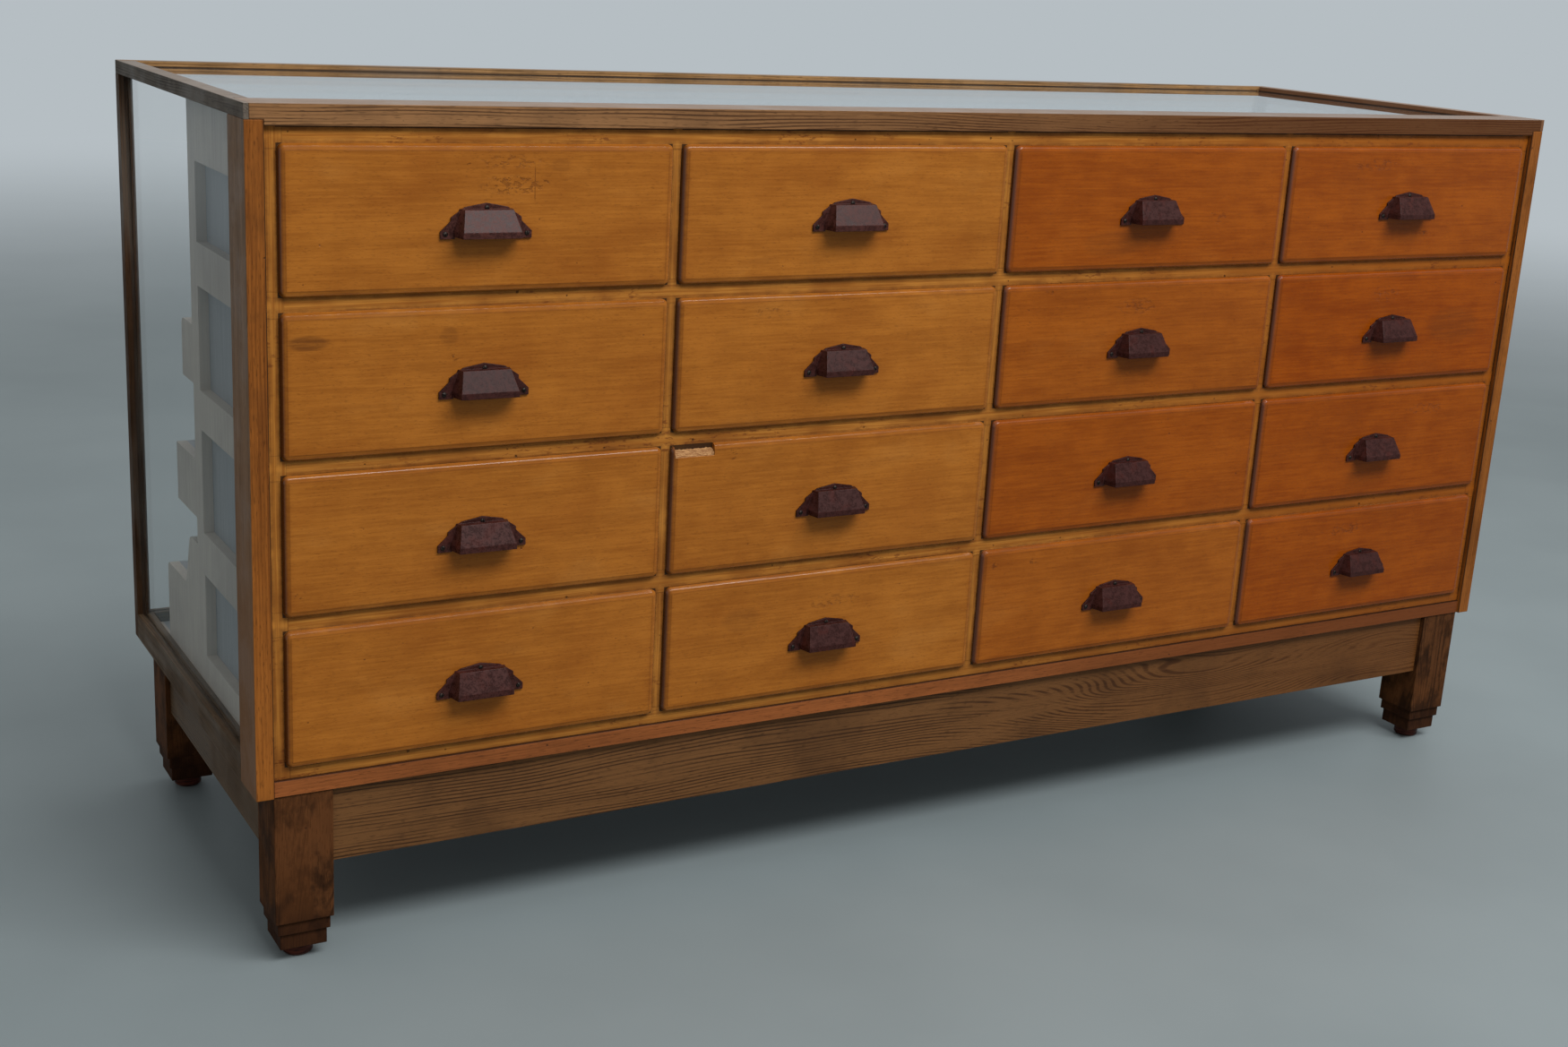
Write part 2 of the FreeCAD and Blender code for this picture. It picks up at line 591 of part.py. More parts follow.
def make_face_frame():
    """Full-width top and bottom rails, stiles between them, middle rails and short dividers."""
    front = "Sizes.frame_recess"
    thick = "Sizes.frame_thickness"
    left = "Sizes.front_post_width"
    top_rail_low = f"{opening_low(TOP_ROW)} + Places.opening_height"
    members = [
        board("frame_rail_bottom", (left, front, "Places.floor_top"), "Places.inner_width", thick,
              "Places.lowest_opening - Places.floor_top"),
        board("frame_rail_top", (left, front, top_rail_low), "Places.inner_width", thick,
              f"Places.frame_top - ({top_rail_low})"),
    ]
    for side, is_right in ENDS:
        members.append(board(
            f"frame_stile_{side}", (at_end(is_right, left, "Places.stile_width"), front, "Places.lowest_opening"),
            "Places.stile_width", thick, f"{top_rail_low} - Places.lowest_opening"))
    for row in range(ROWS):
        if row != TOP_ROW:
            members.append(board(
                f"frame_rail_{row}", ("Places.first_opening", front, f"{opening_low(row)} + Places.opening_height"),
                "Sizes.case_width - 2 * Places.first_opening", thick, "Places.middle_rail_height"))
        for column in range(1, COLUMNS):
            members.append(board(
                f"frame_divider_{row}_{column}",
                (f"{opening_left(column)} - Places.divider_width", front, opening_low(row)),
                "Places.divider_width", thick, "Places.opening_height"))
    return [group("face_frame", members)]


def partition_left(column):
    """The low X of the partition to the left of a column, centred behind its divider."""
    return f"{opening_left(column)} - Places.divider_width / 2 - Sizes.partition_thickness / 2"


def make_partitions():
    members = [
        board(f"partition_{column}", (partition_left(column), "Places.frame_back", "Places.floor_top"),
              "Sizes.partition_thickness", "Places.back_front - Places.frame_back", "Places.carcase_height")
        for column in range(1, COLUMNS)
    ]
    return [group("partitions", members)]


def make_runners():
    """Bearers on both sides of each column: each carries a drawer and keeps the one below level."""
    members = []
    for column in range(COLUMNS):
        left_wall = "Places.lining_inside" if column == 0 else f"{partition_left(column)} + Sizes.partition_thickness"
        right_wall = ("Sizes.case_width - Places.lining_inside" if column == COLUMNS - 1
                      else partition_left(column + 1))
        for side, start in (("left", left_wall), ("right", f"{right_wall} - Sizes.runner_width")):
            for level, (low, height) in enumerate(runner_levels()):
                members.append(board(f"runner_{column}_{side}_{level}", (start, "Places.frame_back", low),
                                     "Sizes.runner_width", "Places.back_front - Places.frame_back", height))
    return [group("drawer_runners", members)]


def runner_levels():
    """Each runner is as high as the frame rail in front of it. The top one only keeps drawers level."""
    top_low = f"{opening_low(TOP_ROW)} + Places.opening_height"
    levels = [("Places.floor_top", "Places.lowest_opening - Places.floor_top")]
    for row in range(TOP_ROW + 1, ROWS):
        levels.append((f"{opening_low(row)} + Places.opening_height", "Places.middle_rail_height"))
    levels.append((top_low, f"Places.carcase_top - ({top_low})"))
    return levels


def make_carcase_panels():
    """The back of the drawer carcase, the board over the drawers and the case floor."""
    back = board("carcase_back", ("Places.board_inside", "Places.back_front", "Places.floor_top"),
                 "Sizes.case_width - 2 * Places.board_inside", "Sizes.carcase_back_thickness",
                 "Places.carcase_height")
    top = board("carcase_top", ("Sizes.end_board_inset", "Places.frame_back", "Places.carcase_top"),
                "Sizes.case_width - 2 * Sizes.end_board_inset", "Sizes.carcase_depth - Places.frame_back",
                "Sizes.carcase_top_thickness")
    base = board("case_floor",
                 ("Sizes.bottom_rail_width", "Places.frame_back", "Places.floor_top - Sizes.floor_thickness"),
                 "Sizes.case_width - 2 * Sizes.bottom_rail_width", "Places.rear_post_front - Places.frame_back",
                 "Sizes.floor_thickness")
    return [back, top, base]


def make_end_boards():
    """Painted end boards: four windows over a lining, and a stepped rear edge under the display shelves."""
    nodes = []
    back = "Sizes.carcase_depth"
    profile = (
        ("Places.frame_back", "Places.floor_top"), ("Sizes.lower_shelf_reach", "Places.floor_top"),
        ("Sizes.lower_shelf_reach", "Sizes.lower_shelf_top"), ("Sizes.sweep_foot_reach", "Sizes.lower_shelf_top"),
        ("Sizes.sweep_shoulder_reach", "Sizes.sweep_shoulder_height"), (back, "Sizes.sweep_shoulder_height"),
        (back, "Sizes.middle_shelf_low"), ("Sizes.middle_shelf_reach", "Sizes.middle_shelf_low"),
        ("Sizes.middle_shelf_reach", "Sizes.middle_shelf_top"), (back, "Sizes.middle_shelf_top"),
        (back, "Sizes.upper_shelf_low"), ("Sizes.upper_shelf_reach", "Sizes.upper_shelf_low"),
        ("Sizes.upper_shelf_reach", "Sizes.upper_shelf_top"), (back, "Sizes.upper_shelf_top"),
        (back, "Places.carcase_top"), ("Places.frame_back", "Places.carcase_top"),
    )
    roundings = (
        ("Sizes.sweep_shoulder_radius", "Sizes.sweep_shoulder_reach", "Sizes.sweep_shoulder_height"),
        ("Sizes.sweep_foot_radius", "Sizes.sweep_foot_reach", "Sizes.lower_shelf_top"),
        ("Sizes.nose_radius", "Sizes.lower_shelf_reach", "Sizes.lower_shelf_top"),
        ("Sizes.nose_radius", "Sizes.upper_shelf_reach", "Sizes.upper_shelf_top"),
    )
    for side, is_right in ENDS:
        face = new_body(f"end_board_{side}",
                        (at_end(is_right, "Sizes.end_board_inset", "Sizes.end_board_thickness"), "0", "0"))
        pad(face, outline(face, "YZ_Plane", profile), "Sizes.end_board_thickness")
        for number in WINDOW_ROWS:
            window = outline(face, "YZ_Plane", rectangle(
                "Sizes.window_front", f"Sizes.window_{number}_low",
                "Sizes.window_rear", f"Sizes.window_{number}_high"))
            pocket(face, window, "Sizes.end_board_thickness", backwards=True)
        for radius, reach, height in roundings:
            fillet(face, radius, along_x_at(value(reach), value(height)))
        lining = board(f"lining_{side}",
                       (at_end(is_right, "Places.board_inside", "Sizes.lining_thickness"),
                        "Places.frame_back", "Places.floor_top"),
                       "Sizes.lining_thickness", "Places.back_front - Places.frame_back", "Places.carcase_height")
        nodes.append(group(f"carcase_end_{side}", [face, lining]))
    return nodes


def along_x_at(y, z):
    return lambda edge: is_parallel(edge, X_AXIS) and lies_at(edge, y=y, z=z)


def make_display_shelves():
    """Three stepped shelves behind the carcase, each a top board over a fascia, between the end boards."""
    members = []
    rises = (
        ("upper", "Sizes.upper_shelf_low", True),
        ("middle", "Sizes.middle_shelf_low", False),
        ("lower", "Places.floor_top", True),
    )
    for name, low, is_rounded in rises:
        reach = f"Sizes.{name}_shelf_reach"
        top = f"Sizes.{name}_shelf_top"
        shelf = new_body(f"display_shelf_{name}", ("Places.board_inside", "Places.back_rear", "0"))
        section = rectangle("0", f"{top} - Sizes.shelf_thickness", f"{reach} - Places.back_rear", top)
        pad(shelf, outline(shelf, "YZ_Plane", section), "Sizes.case_width - 2 * Places.board_inside")
        if is_rounded:
            fillet(shelf, "Sizes.nose_radius", along_x_at(value(f"{reach} - Places.back_rear"), value(top)))
        members.append(shelf)
        members.append(board(
            f"display_fascia_{name}", ("Places.board_inside", f"{reach} - Sizes.fascia_thickness", low),
            "Sizes.case_width - 2 * Places.board_inside", "Sizes.fascia_thickness",
            f"{top} - Sizes.shelf_thickness - ({low})"))
    return [group("display_shelves", members)]


def make_drawer_pieces():
    """One drawer in its own coordinates: X from the lip's left, Y from its face, Z from its foot."""
    front = new_body("drawer_front")
    pad(front, outline(front, "XZ_Plane", rectangle("0", "0", "Places.lip_width", "Places.lip_height")),
        "Sizes.lip_thickness", backwards=True)
    fillet(front, "Sizes.lip_corner_radius", lambda edge: is_parallel(edge, Y_AXIS))
    slope = dress_up(front, "PartDesign::Chamfer", lambda edge: lies_at(edge, y=0))
    slope.ChamferType = "Two distances"
    slope.FlipDirection = True
    slope.setExpression("Size", "Sizes.lip_slope_width")
    slope.setExpression("Size2", "Sizes.lip_slope_depth")
    ease(front, "Sizes.lip_edge", lambda edge: lies_at(edge, y=value("Sizes.lip_slope_depth")))
    block_left = "Sizes.lip_overlap + Sizes.side_play"
    block_low = "Sizes.lip_overlap + Sizes.seat_clearance"
    block = outline(front, "XZ_Plane", rectangle(
        block_left, block_low, f"{block_left} + Places.box_width", f"{block_low} + Places.box_height"),
        "-Places.lip_back")
    pad(front, block, "Sizes.front_block_thickness", backwards=True)

    sides = []
    for side, groove_start in (("left", "Sizes.drawer_side_thickness - Sizes.bottom_groove_depth"), ("right", "0")):
        is_right = side == "right"
        across = f"{block_left} + Places.box_width - Sizes.drawer_side_thickness" if is_right else block_left
        wall = new_body(f"drawer_side_{side}")
        bind_origin(wall, (across, "Places.block_back", block_low))
        pad(wall, outline(wall, "XZ_Plane", rectangle("0", "0", "Sizes.drawer_side_thickness", "Places.box_height")),
            "Sizes.drawer_side_length", backwards=True)
        groove = outline(wall, "XZ_Plane", rectangle(
            groove_start, "Sizes.drawer_bottom_rise", f"{groove_start} + Sizes.bottom_groove_depth",
            "Sizes.drawer_bottom_rise + Sizes.drawer_bottom_thickness"))
        pocket(wall, groove, "Sizes.drawer_side_length")
        sides.append(wall)

    inner_left = f"{block_left} + Sizes.drawer_side_thickness"
    inner_width = "Places.box_width - 2 * Sizes.drawer_side_thickness"
    bottom_low = f"{block_low} + Sizes.drawer_bottom_rise"
    bottom_top = f"{bottom_low} + Sizes.drawer_bottom_thickness"
    back_front = "Places.block_back + Sizes.drawer_side_length - Sizes.drawer_side_thickness"
    back = loose_board("drawer_back", (inner_left, back_front, bottom_top), inner_width,
                       "Sizes.drawer_side_thickness",
                       "Places.box_height - Sizes.drawer_bottom_rise - Sizes.drawer_bottom_thickness")
    bottom = loose_board("drawer_bottom", (f"{inner_left} - Sizes.bottom_groove_depth", "Places.block_back", bottom_low),
                         f"{inner_width} + 2 * Sizes.bottom_groove_depth", "Sizes.drawer_side_length",
                         "Sizes.drawer_bottom_thickness")
    return front, sides + [back, bottom]


def bind_origin(thing, corner):
    for axis, formula in zip("xyz", corner):
        thing.setExpression(f"Placement.Base.{axis}", formula)


def loose_board(name, corner, length, depth, height):
    """A plain board placed in a drawer's own coordinates."""
    box = document.addObject("Part::Box", name)
    box.setExpression("Length", length)
    box.setExpression("Width", depth)
    box.setExpression("Height", height)
    bind_origin(box, corner)
    return box


def make_chipped_front(front):
    """The one drawer front whose lip has split off along part of its top edge, on a slope."""
    missing = new_body("broken_away")
    top = "Places.lip_height + Sizes.chip_back_drop"
    low = "Places.lip_height - Sizes.chip_front_drop"
    high = "Places.lip_height - Sizes.chip_back_drop"
    section = (
        ("-Sizes.lip_thickness", low), ("0", low), ("Places.lip_back", high),
        ("2 * Places.lip_back", high), ("2 * Places.lip_back", top), ("-Sizes.lip_thickness", top),
    )
    pad(missing, outline(missing, "YZ_Plane", section, "Sizes.chip_start"), "Sizes.chip_length")
    chipped = document.addObject("Part::Cut", "drawer_front_chipped")
    chipped.Base = front
    chipped.Tool = missing
    return chipped


def make_pull():
    """A faceted cup pull: a peaked plate with ears, and a hollow cup that widens and leans out downwards."""
    plate = new_body("pull_plate")
    half = "Sizes.pull_width / 2"
    right_side = (
        ("0", "0"), ("Sizes.pull_peak_half", "-Sizes.pull_peak_drop"),
        ("Sizes.pull_shoulder_half", "-Sizes.pull_shoulder_drop"),
        ("Sizes.pull_shoulder_half", "-Sizes.pull_notch_drop"),
        (half, "-Places.ear_drop"), (half, "-Sizes.pull_height"),
    )
    left_side = tuple((f"-{across}", up) for across, up in reversed(right_side[1:]))
    pad(plate, outline(plate, "XZ_Plane", right_side + left_side), "Sizes.pull_plate_thickness")

    moulding = document.addObject("Part::MultiFuse", "pull_moulding")
    moulding.Shapes = [plate, cup_form("cup", "0", "0")]
    moulding.Refine = True
    pull = document.addObject("Part::Cut", "pull")
    pull.Base = moulding
    pull.Tool = cup_form("cup_hollow", "Sizes.pull_wall", "Sizes.pull_height")
    pull.Refine = True
    return pull


def cup_form(name, wall, extra_foot):
    """The outer form of the cup. With a wall taken off and a longer foot it is the space inside."""
    form = new_body(name)
    top = f"-(Sizes.cup_top_drop + {wall})"
    edge = "-Sizes.cup_lip_drop"
    foot = f"-(Sizes.cup_lip_drop + Sizes.cup_lip_height + {extra_foot})"
    top_half = f"Sizes.cup_top_half - {wall}"
    lip_half = f"Sizes.cup_lip_half - {wall}"
    reach = f"Sizes.pull_projection - {wall}"
    front_view = (
        (f"-({top_half})", top), (f"-({lip_half})", edge), (f"-({lip_half})", foot),
        (lip_half, foot), (lip_half, edge), (top_half, top),
    )
    pad(form, outline(form, "XZ_Plane", front_view), reach)
    document.recompute()
    draft = form.newObject("PartDesign::Draft", f"{name}_draft")
    faces = enumerate(first_pad(form).Shape.Faces, start=1)
    draft.Base = (first_pad(form), [f"Face{number}" for number, face in faces if faces_sideways(face)])
    draft.NeutralPlane = (origin_plane(form, "XZ_Plane"), [""])
    draft.setExpression("Angle", "Sizes.cup_draft_angle")
    slope = (
        (f"-(Sizes.cup_top_projection - {wall})", "-Sizes.cup_top_drop"),
        (f"-({reach})", edge), (f"-({reach})", "-Sizes.cup_top_drop"),
    )
    pocket(form, outline(form, "YZ_Plane", slope, "-Sizes.pull_width"), "2 * Sizes.pull_width", backwards=True)
    return form


def first_pad(form):
    return next(item for item in form.Group if item.TypeId == "PartDesign::Pad")


def faces_sideways(face):
    return abs(face.normalAt(0, 0).x) > 0.5


def make_drawers():
    """Sixteen drawers and their pulls, placed by row and column. One front is chipped."""
    front, box_pieces = make_drawer_pieces()
    chipped_front = make_chipped_front(front)
    pull = make_pull()
    nodes = []
    for row in range(ROWS):
        for column in range(COLUMNS):
            name = f"row{row + 1}_column{column + 1}"
            this_front = chipped_front if (row, column) == CHIPPED_DRAWER else front
            lip_left = f"Sizes.side_margin + {column} * Places.column_pitch"
            lip_low = f"Sizes.bottom_margin + {ROWS - 1 - row} * Places.row_pitch"
            nodes.append(group(f"drawer_{name}", [this_front] + box_pieces, (lip_left, "Places.lip_face", lip_low)))
            peak = f"{lip_low} + (Places.lip_height + Sizes.pull_height) / 2 - Sizes.pull_drop"
            nodes.append(group(f"pull_{name}", [pull],
                               (f"{lip_left} + Places.lip_width / 2", "Places.lip_face", peak)))
    return nodes


def check_document():
    """Stops if any object failed to compute."""
    for item in document.Objects:
        if "Invalid" in item.State or "Error" in item.State:
            raise RuntimeError(f"{item.Label} did not compute: {item.State}")


def export(nodes):
    """Writes one file for each node, named by its label."""
    os.makedirs("parts", exist_ok=True)
    for node in nodes:
        shape = node.Shape
        if shape.isNull() or not shape.isValid() or not shape.Solids:
            raise RuntimeError(f"{node.Label} has no sound solid")
    for node in nodes:
        node.Shape.exportStep(f"parts/{node.Label}.step")


all_nodes = (
    make_legs() + make_glides() + make_aprons()
    + make_front_posts() + make_rear_posts()
    + make_top_front_rail() + make_top_end_rails() + make_top_rear_rail()
    + make_bottom_rails() + make_base_rail() + make_panes()
    + make_face_frame() + make_partitions() + make_runners()
    + make_carcase_panels() + make_end_boards() + make_display_shelves()
    + make_drawers()
)
document.recompute()
check_document()
export(all_nodes)
print(f"{len(all_nodes)} nodes, {sum(len(node.Shape.Solids) for node in all_nodes)} solids")
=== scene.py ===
import math

import bmesh
import bpy
from mathutils import Matrix, Vector


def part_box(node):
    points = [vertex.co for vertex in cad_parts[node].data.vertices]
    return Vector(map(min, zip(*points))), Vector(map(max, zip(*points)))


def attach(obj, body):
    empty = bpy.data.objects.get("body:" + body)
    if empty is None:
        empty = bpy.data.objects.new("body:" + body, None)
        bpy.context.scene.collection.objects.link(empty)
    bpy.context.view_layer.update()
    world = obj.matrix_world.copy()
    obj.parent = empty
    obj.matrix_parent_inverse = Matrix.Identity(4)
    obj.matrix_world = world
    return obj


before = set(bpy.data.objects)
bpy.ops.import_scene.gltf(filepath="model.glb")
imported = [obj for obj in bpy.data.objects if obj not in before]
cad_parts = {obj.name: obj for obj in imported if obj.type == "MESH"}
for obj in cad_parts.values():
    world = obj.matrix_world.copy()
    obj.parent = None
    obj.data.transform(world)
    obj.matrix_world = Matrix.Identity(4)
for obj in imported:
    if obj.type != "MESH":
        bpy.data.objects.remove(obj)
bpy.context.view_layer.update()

# Looks of the shop counter: finishes for its CAD pieces, the pull screws and the torn wood of one
# drawer front, then the floor, light and camera. Metres; X along the counter, Y towards the display
# side, Z up, as in the frame.


def low(node, axis):
    """Where a node's box begins along an axis, to the micrometre."""
    return round(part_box(node)[0]["xyz".index(axis)], 6)


def high(node, axis):
    """Where a node's box ends along an axis, to the micrometre."""
    return round(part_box(node)[1]["xyz".index(axis)], 6)


# The grid of drawers, from the front in the lowest row and the left column.
ROWS = 4
COLUMNS = 4
CORNER_DRAWER = f"drawer_row{ROWS}_column1"
FIRST_FRONT = low(CORNER_DRAWER, "x")
LOWEST_FRONT = low(CORNER_DRAWER, "z")
FRONT_WIDTH = high(CORNER_DRAWER, "x") - FIRST_FRONT
FRONT_HEIGHT = high(CORNER_DRAWER, "z") - LOWEST_FRONT
COLUMN_PITCH = low(f"drawer_row{ROWS}_column2", "x") - FIRST_FRONT
ROW_PITCH = low(f"drawer_row{ROWS - 1}_column1", "z") - LOWEST_FRONT
COLUMN_GAP = COLUMN_PITCH - FRONT_WIDTH
ROW_GAP = ROW_PITCH - FRONT_HEIGHT

# A drawer's lip, the opening behind it, and how far in from the lip's edge the box's side ends.
LIP_OVERLAP = 0.006
LIP_THICKNESS = 0.0072
FIRST_OPENING = FIRST_FRONT + LIP_OVERLAP
LOWEST_OPENING = LOWEST_FRONT + LIP_OVERLAP
OPENING_WIDTH = FRONT_WIDTH - 2 * LIP_OVERLAP
OPENING_HEIGHT = FRONT_HEIGHT - 2 * LIP_OVERLAP
FRONT_FACE_Y = low(CORNER_DRAWER, "y")
FRONT_BACK_Y = FRONT_FACE_Y + LIP_THICKNESS
BOX_SIDE_END = 0.019

# The smudge below each pull, from the front's lower edge: hand grime with a painted shadow of the pull.
PULL_SHADOW_AND_SMUDGE_MIDDLE_Z = 0.052
PULL_SHADOW_AND_SMUDGE_HALF_SIZE = (0.085, 0.030)

# The upright scratch on the top left front, from its top left corner.
SCRATCH_ASIDE = 0.270
SCRATCH_DOWN = 0.024
SCRATCH_WIDTH = 0.0009
SCRATCH_LENGTH = 0.034

# Screws of a pull: how far each one sits beside and below the pull's peak, on its plate.
PLATE_THICKNESS = 0.0026
PULL_SCREWS = ((0.0, 0.005), (-0.045, 0.0317), (0.045, 0.0317))
SCREW_RADIUS = 0.0027
SCREW_DOME = 0.0017
SCREW_SLOT = 0.0004
SCREW_STEPS = 6

# The drawer front whose top left corner has split off, counted from 0 at the top left, and the
# slope that is left there.
CHIPPED_ROW = 2
CHIPPED_COLUMN = 1
CHIP_START = 0.004
CHIP_LENGTH = 0.050
CHIP_FRONT_DROP = 0.014
CHIP_BACK_DROP = 0.0065
CHIP_MARGIN = 0.0004
CHIP_STEPS = 50
CHIP_LAYERS = 7

# Where pieces of the case meet.
CASE_END_X = high("post_front_right", "x")
POST_INNER_X = low("post_front_right", "x")
POST_FACE_Y = low("post_front_right", "y")
FRAME_FOOT_Z = high("base_rail_front", "z")
APRON_END_X = high("leg_front_right", "x") - 0.030
LINING_THICKNESS = 0.004
LINING_X = low("carcase_end_right", "x") + LINING_THICKNESS
RAIL_TOP_Z = high("top_rail_front", "z")
GLASS_TOP_Z = high("glass_top", "z")
GLASS_CLEARANCE = 0.0005
END_REBATE_X = high("glass_top", "x") + GLASS_CLEARANCE
REAR_REBATE_Y = high("glass_top", "y") + GLASS_CLEARANCE
FRONT_REBATE_Y = high("top_rail_front", "y")

FLOOR_RADIUS = 30.0
FLOOR_FADE = (2.6, 8.5)
BACKGROUND = (182, 190, 195)

CAMERA_PLACE = (-1.43108, -2.22660, 1.09688)
CAMERA_YAW = 30.404
CAMERA_PITCH = 15.914
CAMERA_ROLL = 3.268
CAMERA_LENS = 45.756

# Scuffs on the drawer fronts, as the photograph shows them: row and column, counted from 0 at the
# top left, the centre from that front's top left corner, half the size, and the depth.
DRAWER_MARKS = (
    (0, 0, (0.244, 0.018), (0.040, 0.009), 0.45),
    (0, 0, (0.246, 0.042), (0.042, 0.012), 0.65),
    (0, 0, (0.196, 0.020), (0.006, 0.002), 0.90),
    (0, 0, (0.281, 0.041), (0.007, 0.005), 0.80),
    (2, 0, (0.015, 0.130), (0.006, 0.004), 0.90),
    (2, 0, (0.250, 0.048), (0.014, 0.004), 0.60),
    (2, 1, (0.078, 0.014), (0.007, 0.009), 0.80),
    (1, 2, (0.068, 0.009), (0.008, 0.004), 0.80),
    (3, 2, (0.020, 0.021), (0.006, 0.006), 0.80),
    (3, 2, (0.080, 0.021), (0.007, 0.006), 0.70),
    (0, 2, (0.330, 0.090), (0.020, 0.010), 0.45),
    (0, 3, (0.150, 0.024), (0.050, 0.010), 0.45),
    (0, 3, (0.256, 0.116), (0.010, 0.004), 0.95),
    (1, 2, (0.210, 0.032), (0.040, 0.012), 0.45),
    (1, 3, (0.200, 0.030), (0.030, 0.014), 0.45),
    (1, 0, (0.182, 0.052), (0.008, 0.008), 0.60),
    (1, 1, (0.120, 0.020), (0.030, 0.008), 0.45),
    (2, 3, (0.310, 0.030), (0.040, 0.010), 0.45),
    (3, 1, (0.230, 0.040), (0.050, 0.010), 0.45),
    (3, 3, (0.180, 0.030), (0.050, 0.010), 0.50),
)

# Soft stains on the fronts, in the same terms.
DRAWER_STAINS = (
    (1, 0, (0.028, 0.031), (0.026, 0.009), 0.75),
    (1, 0, (0.178, 0.030), (0.012, 0.012), 0.35),
    (0, 0, (0.300, 0.022), (0.014, 0.008), 0.30),
    (0, 2, (0.160, 0.120), (0.060, 0.020), 0.25),
    (1, 3, (0.340, 0.080), (0.060, 0.030), 0.30),
    (3, 1, (0.100, 0.050), (0.030, 0.018), 0.30),
)


def names_of(kind):
    rows = range(1, ROWS + 1)
    columns = range(1, COLUMNS + 1)
    return [f"{kind}_row{row}_column{column}" for row in rows for column in columns]


def front_left(column):
    return FIRST_FRONT + column * COLUMN_PITCH


def front_top(row):
    return LOWEST_FRONT + (ROWS - 1 - row) * ROW_PITCH + FRONT_HEIGHT


def colour(red, green, blue):
    """A screen colour, 0 to 255, as the linear colour that Blender takes."""
    def linear(level):
        level /= 255
        return level / 12.92 if level <= 0.04045 else ((level + 0.055) / 1.055) ** 2.4
    return (linear(red), linear(green), linear(blue), 1.0)


def darker(tint, share):
    return [share * channel for channel in tint[:3]] + [1.0]


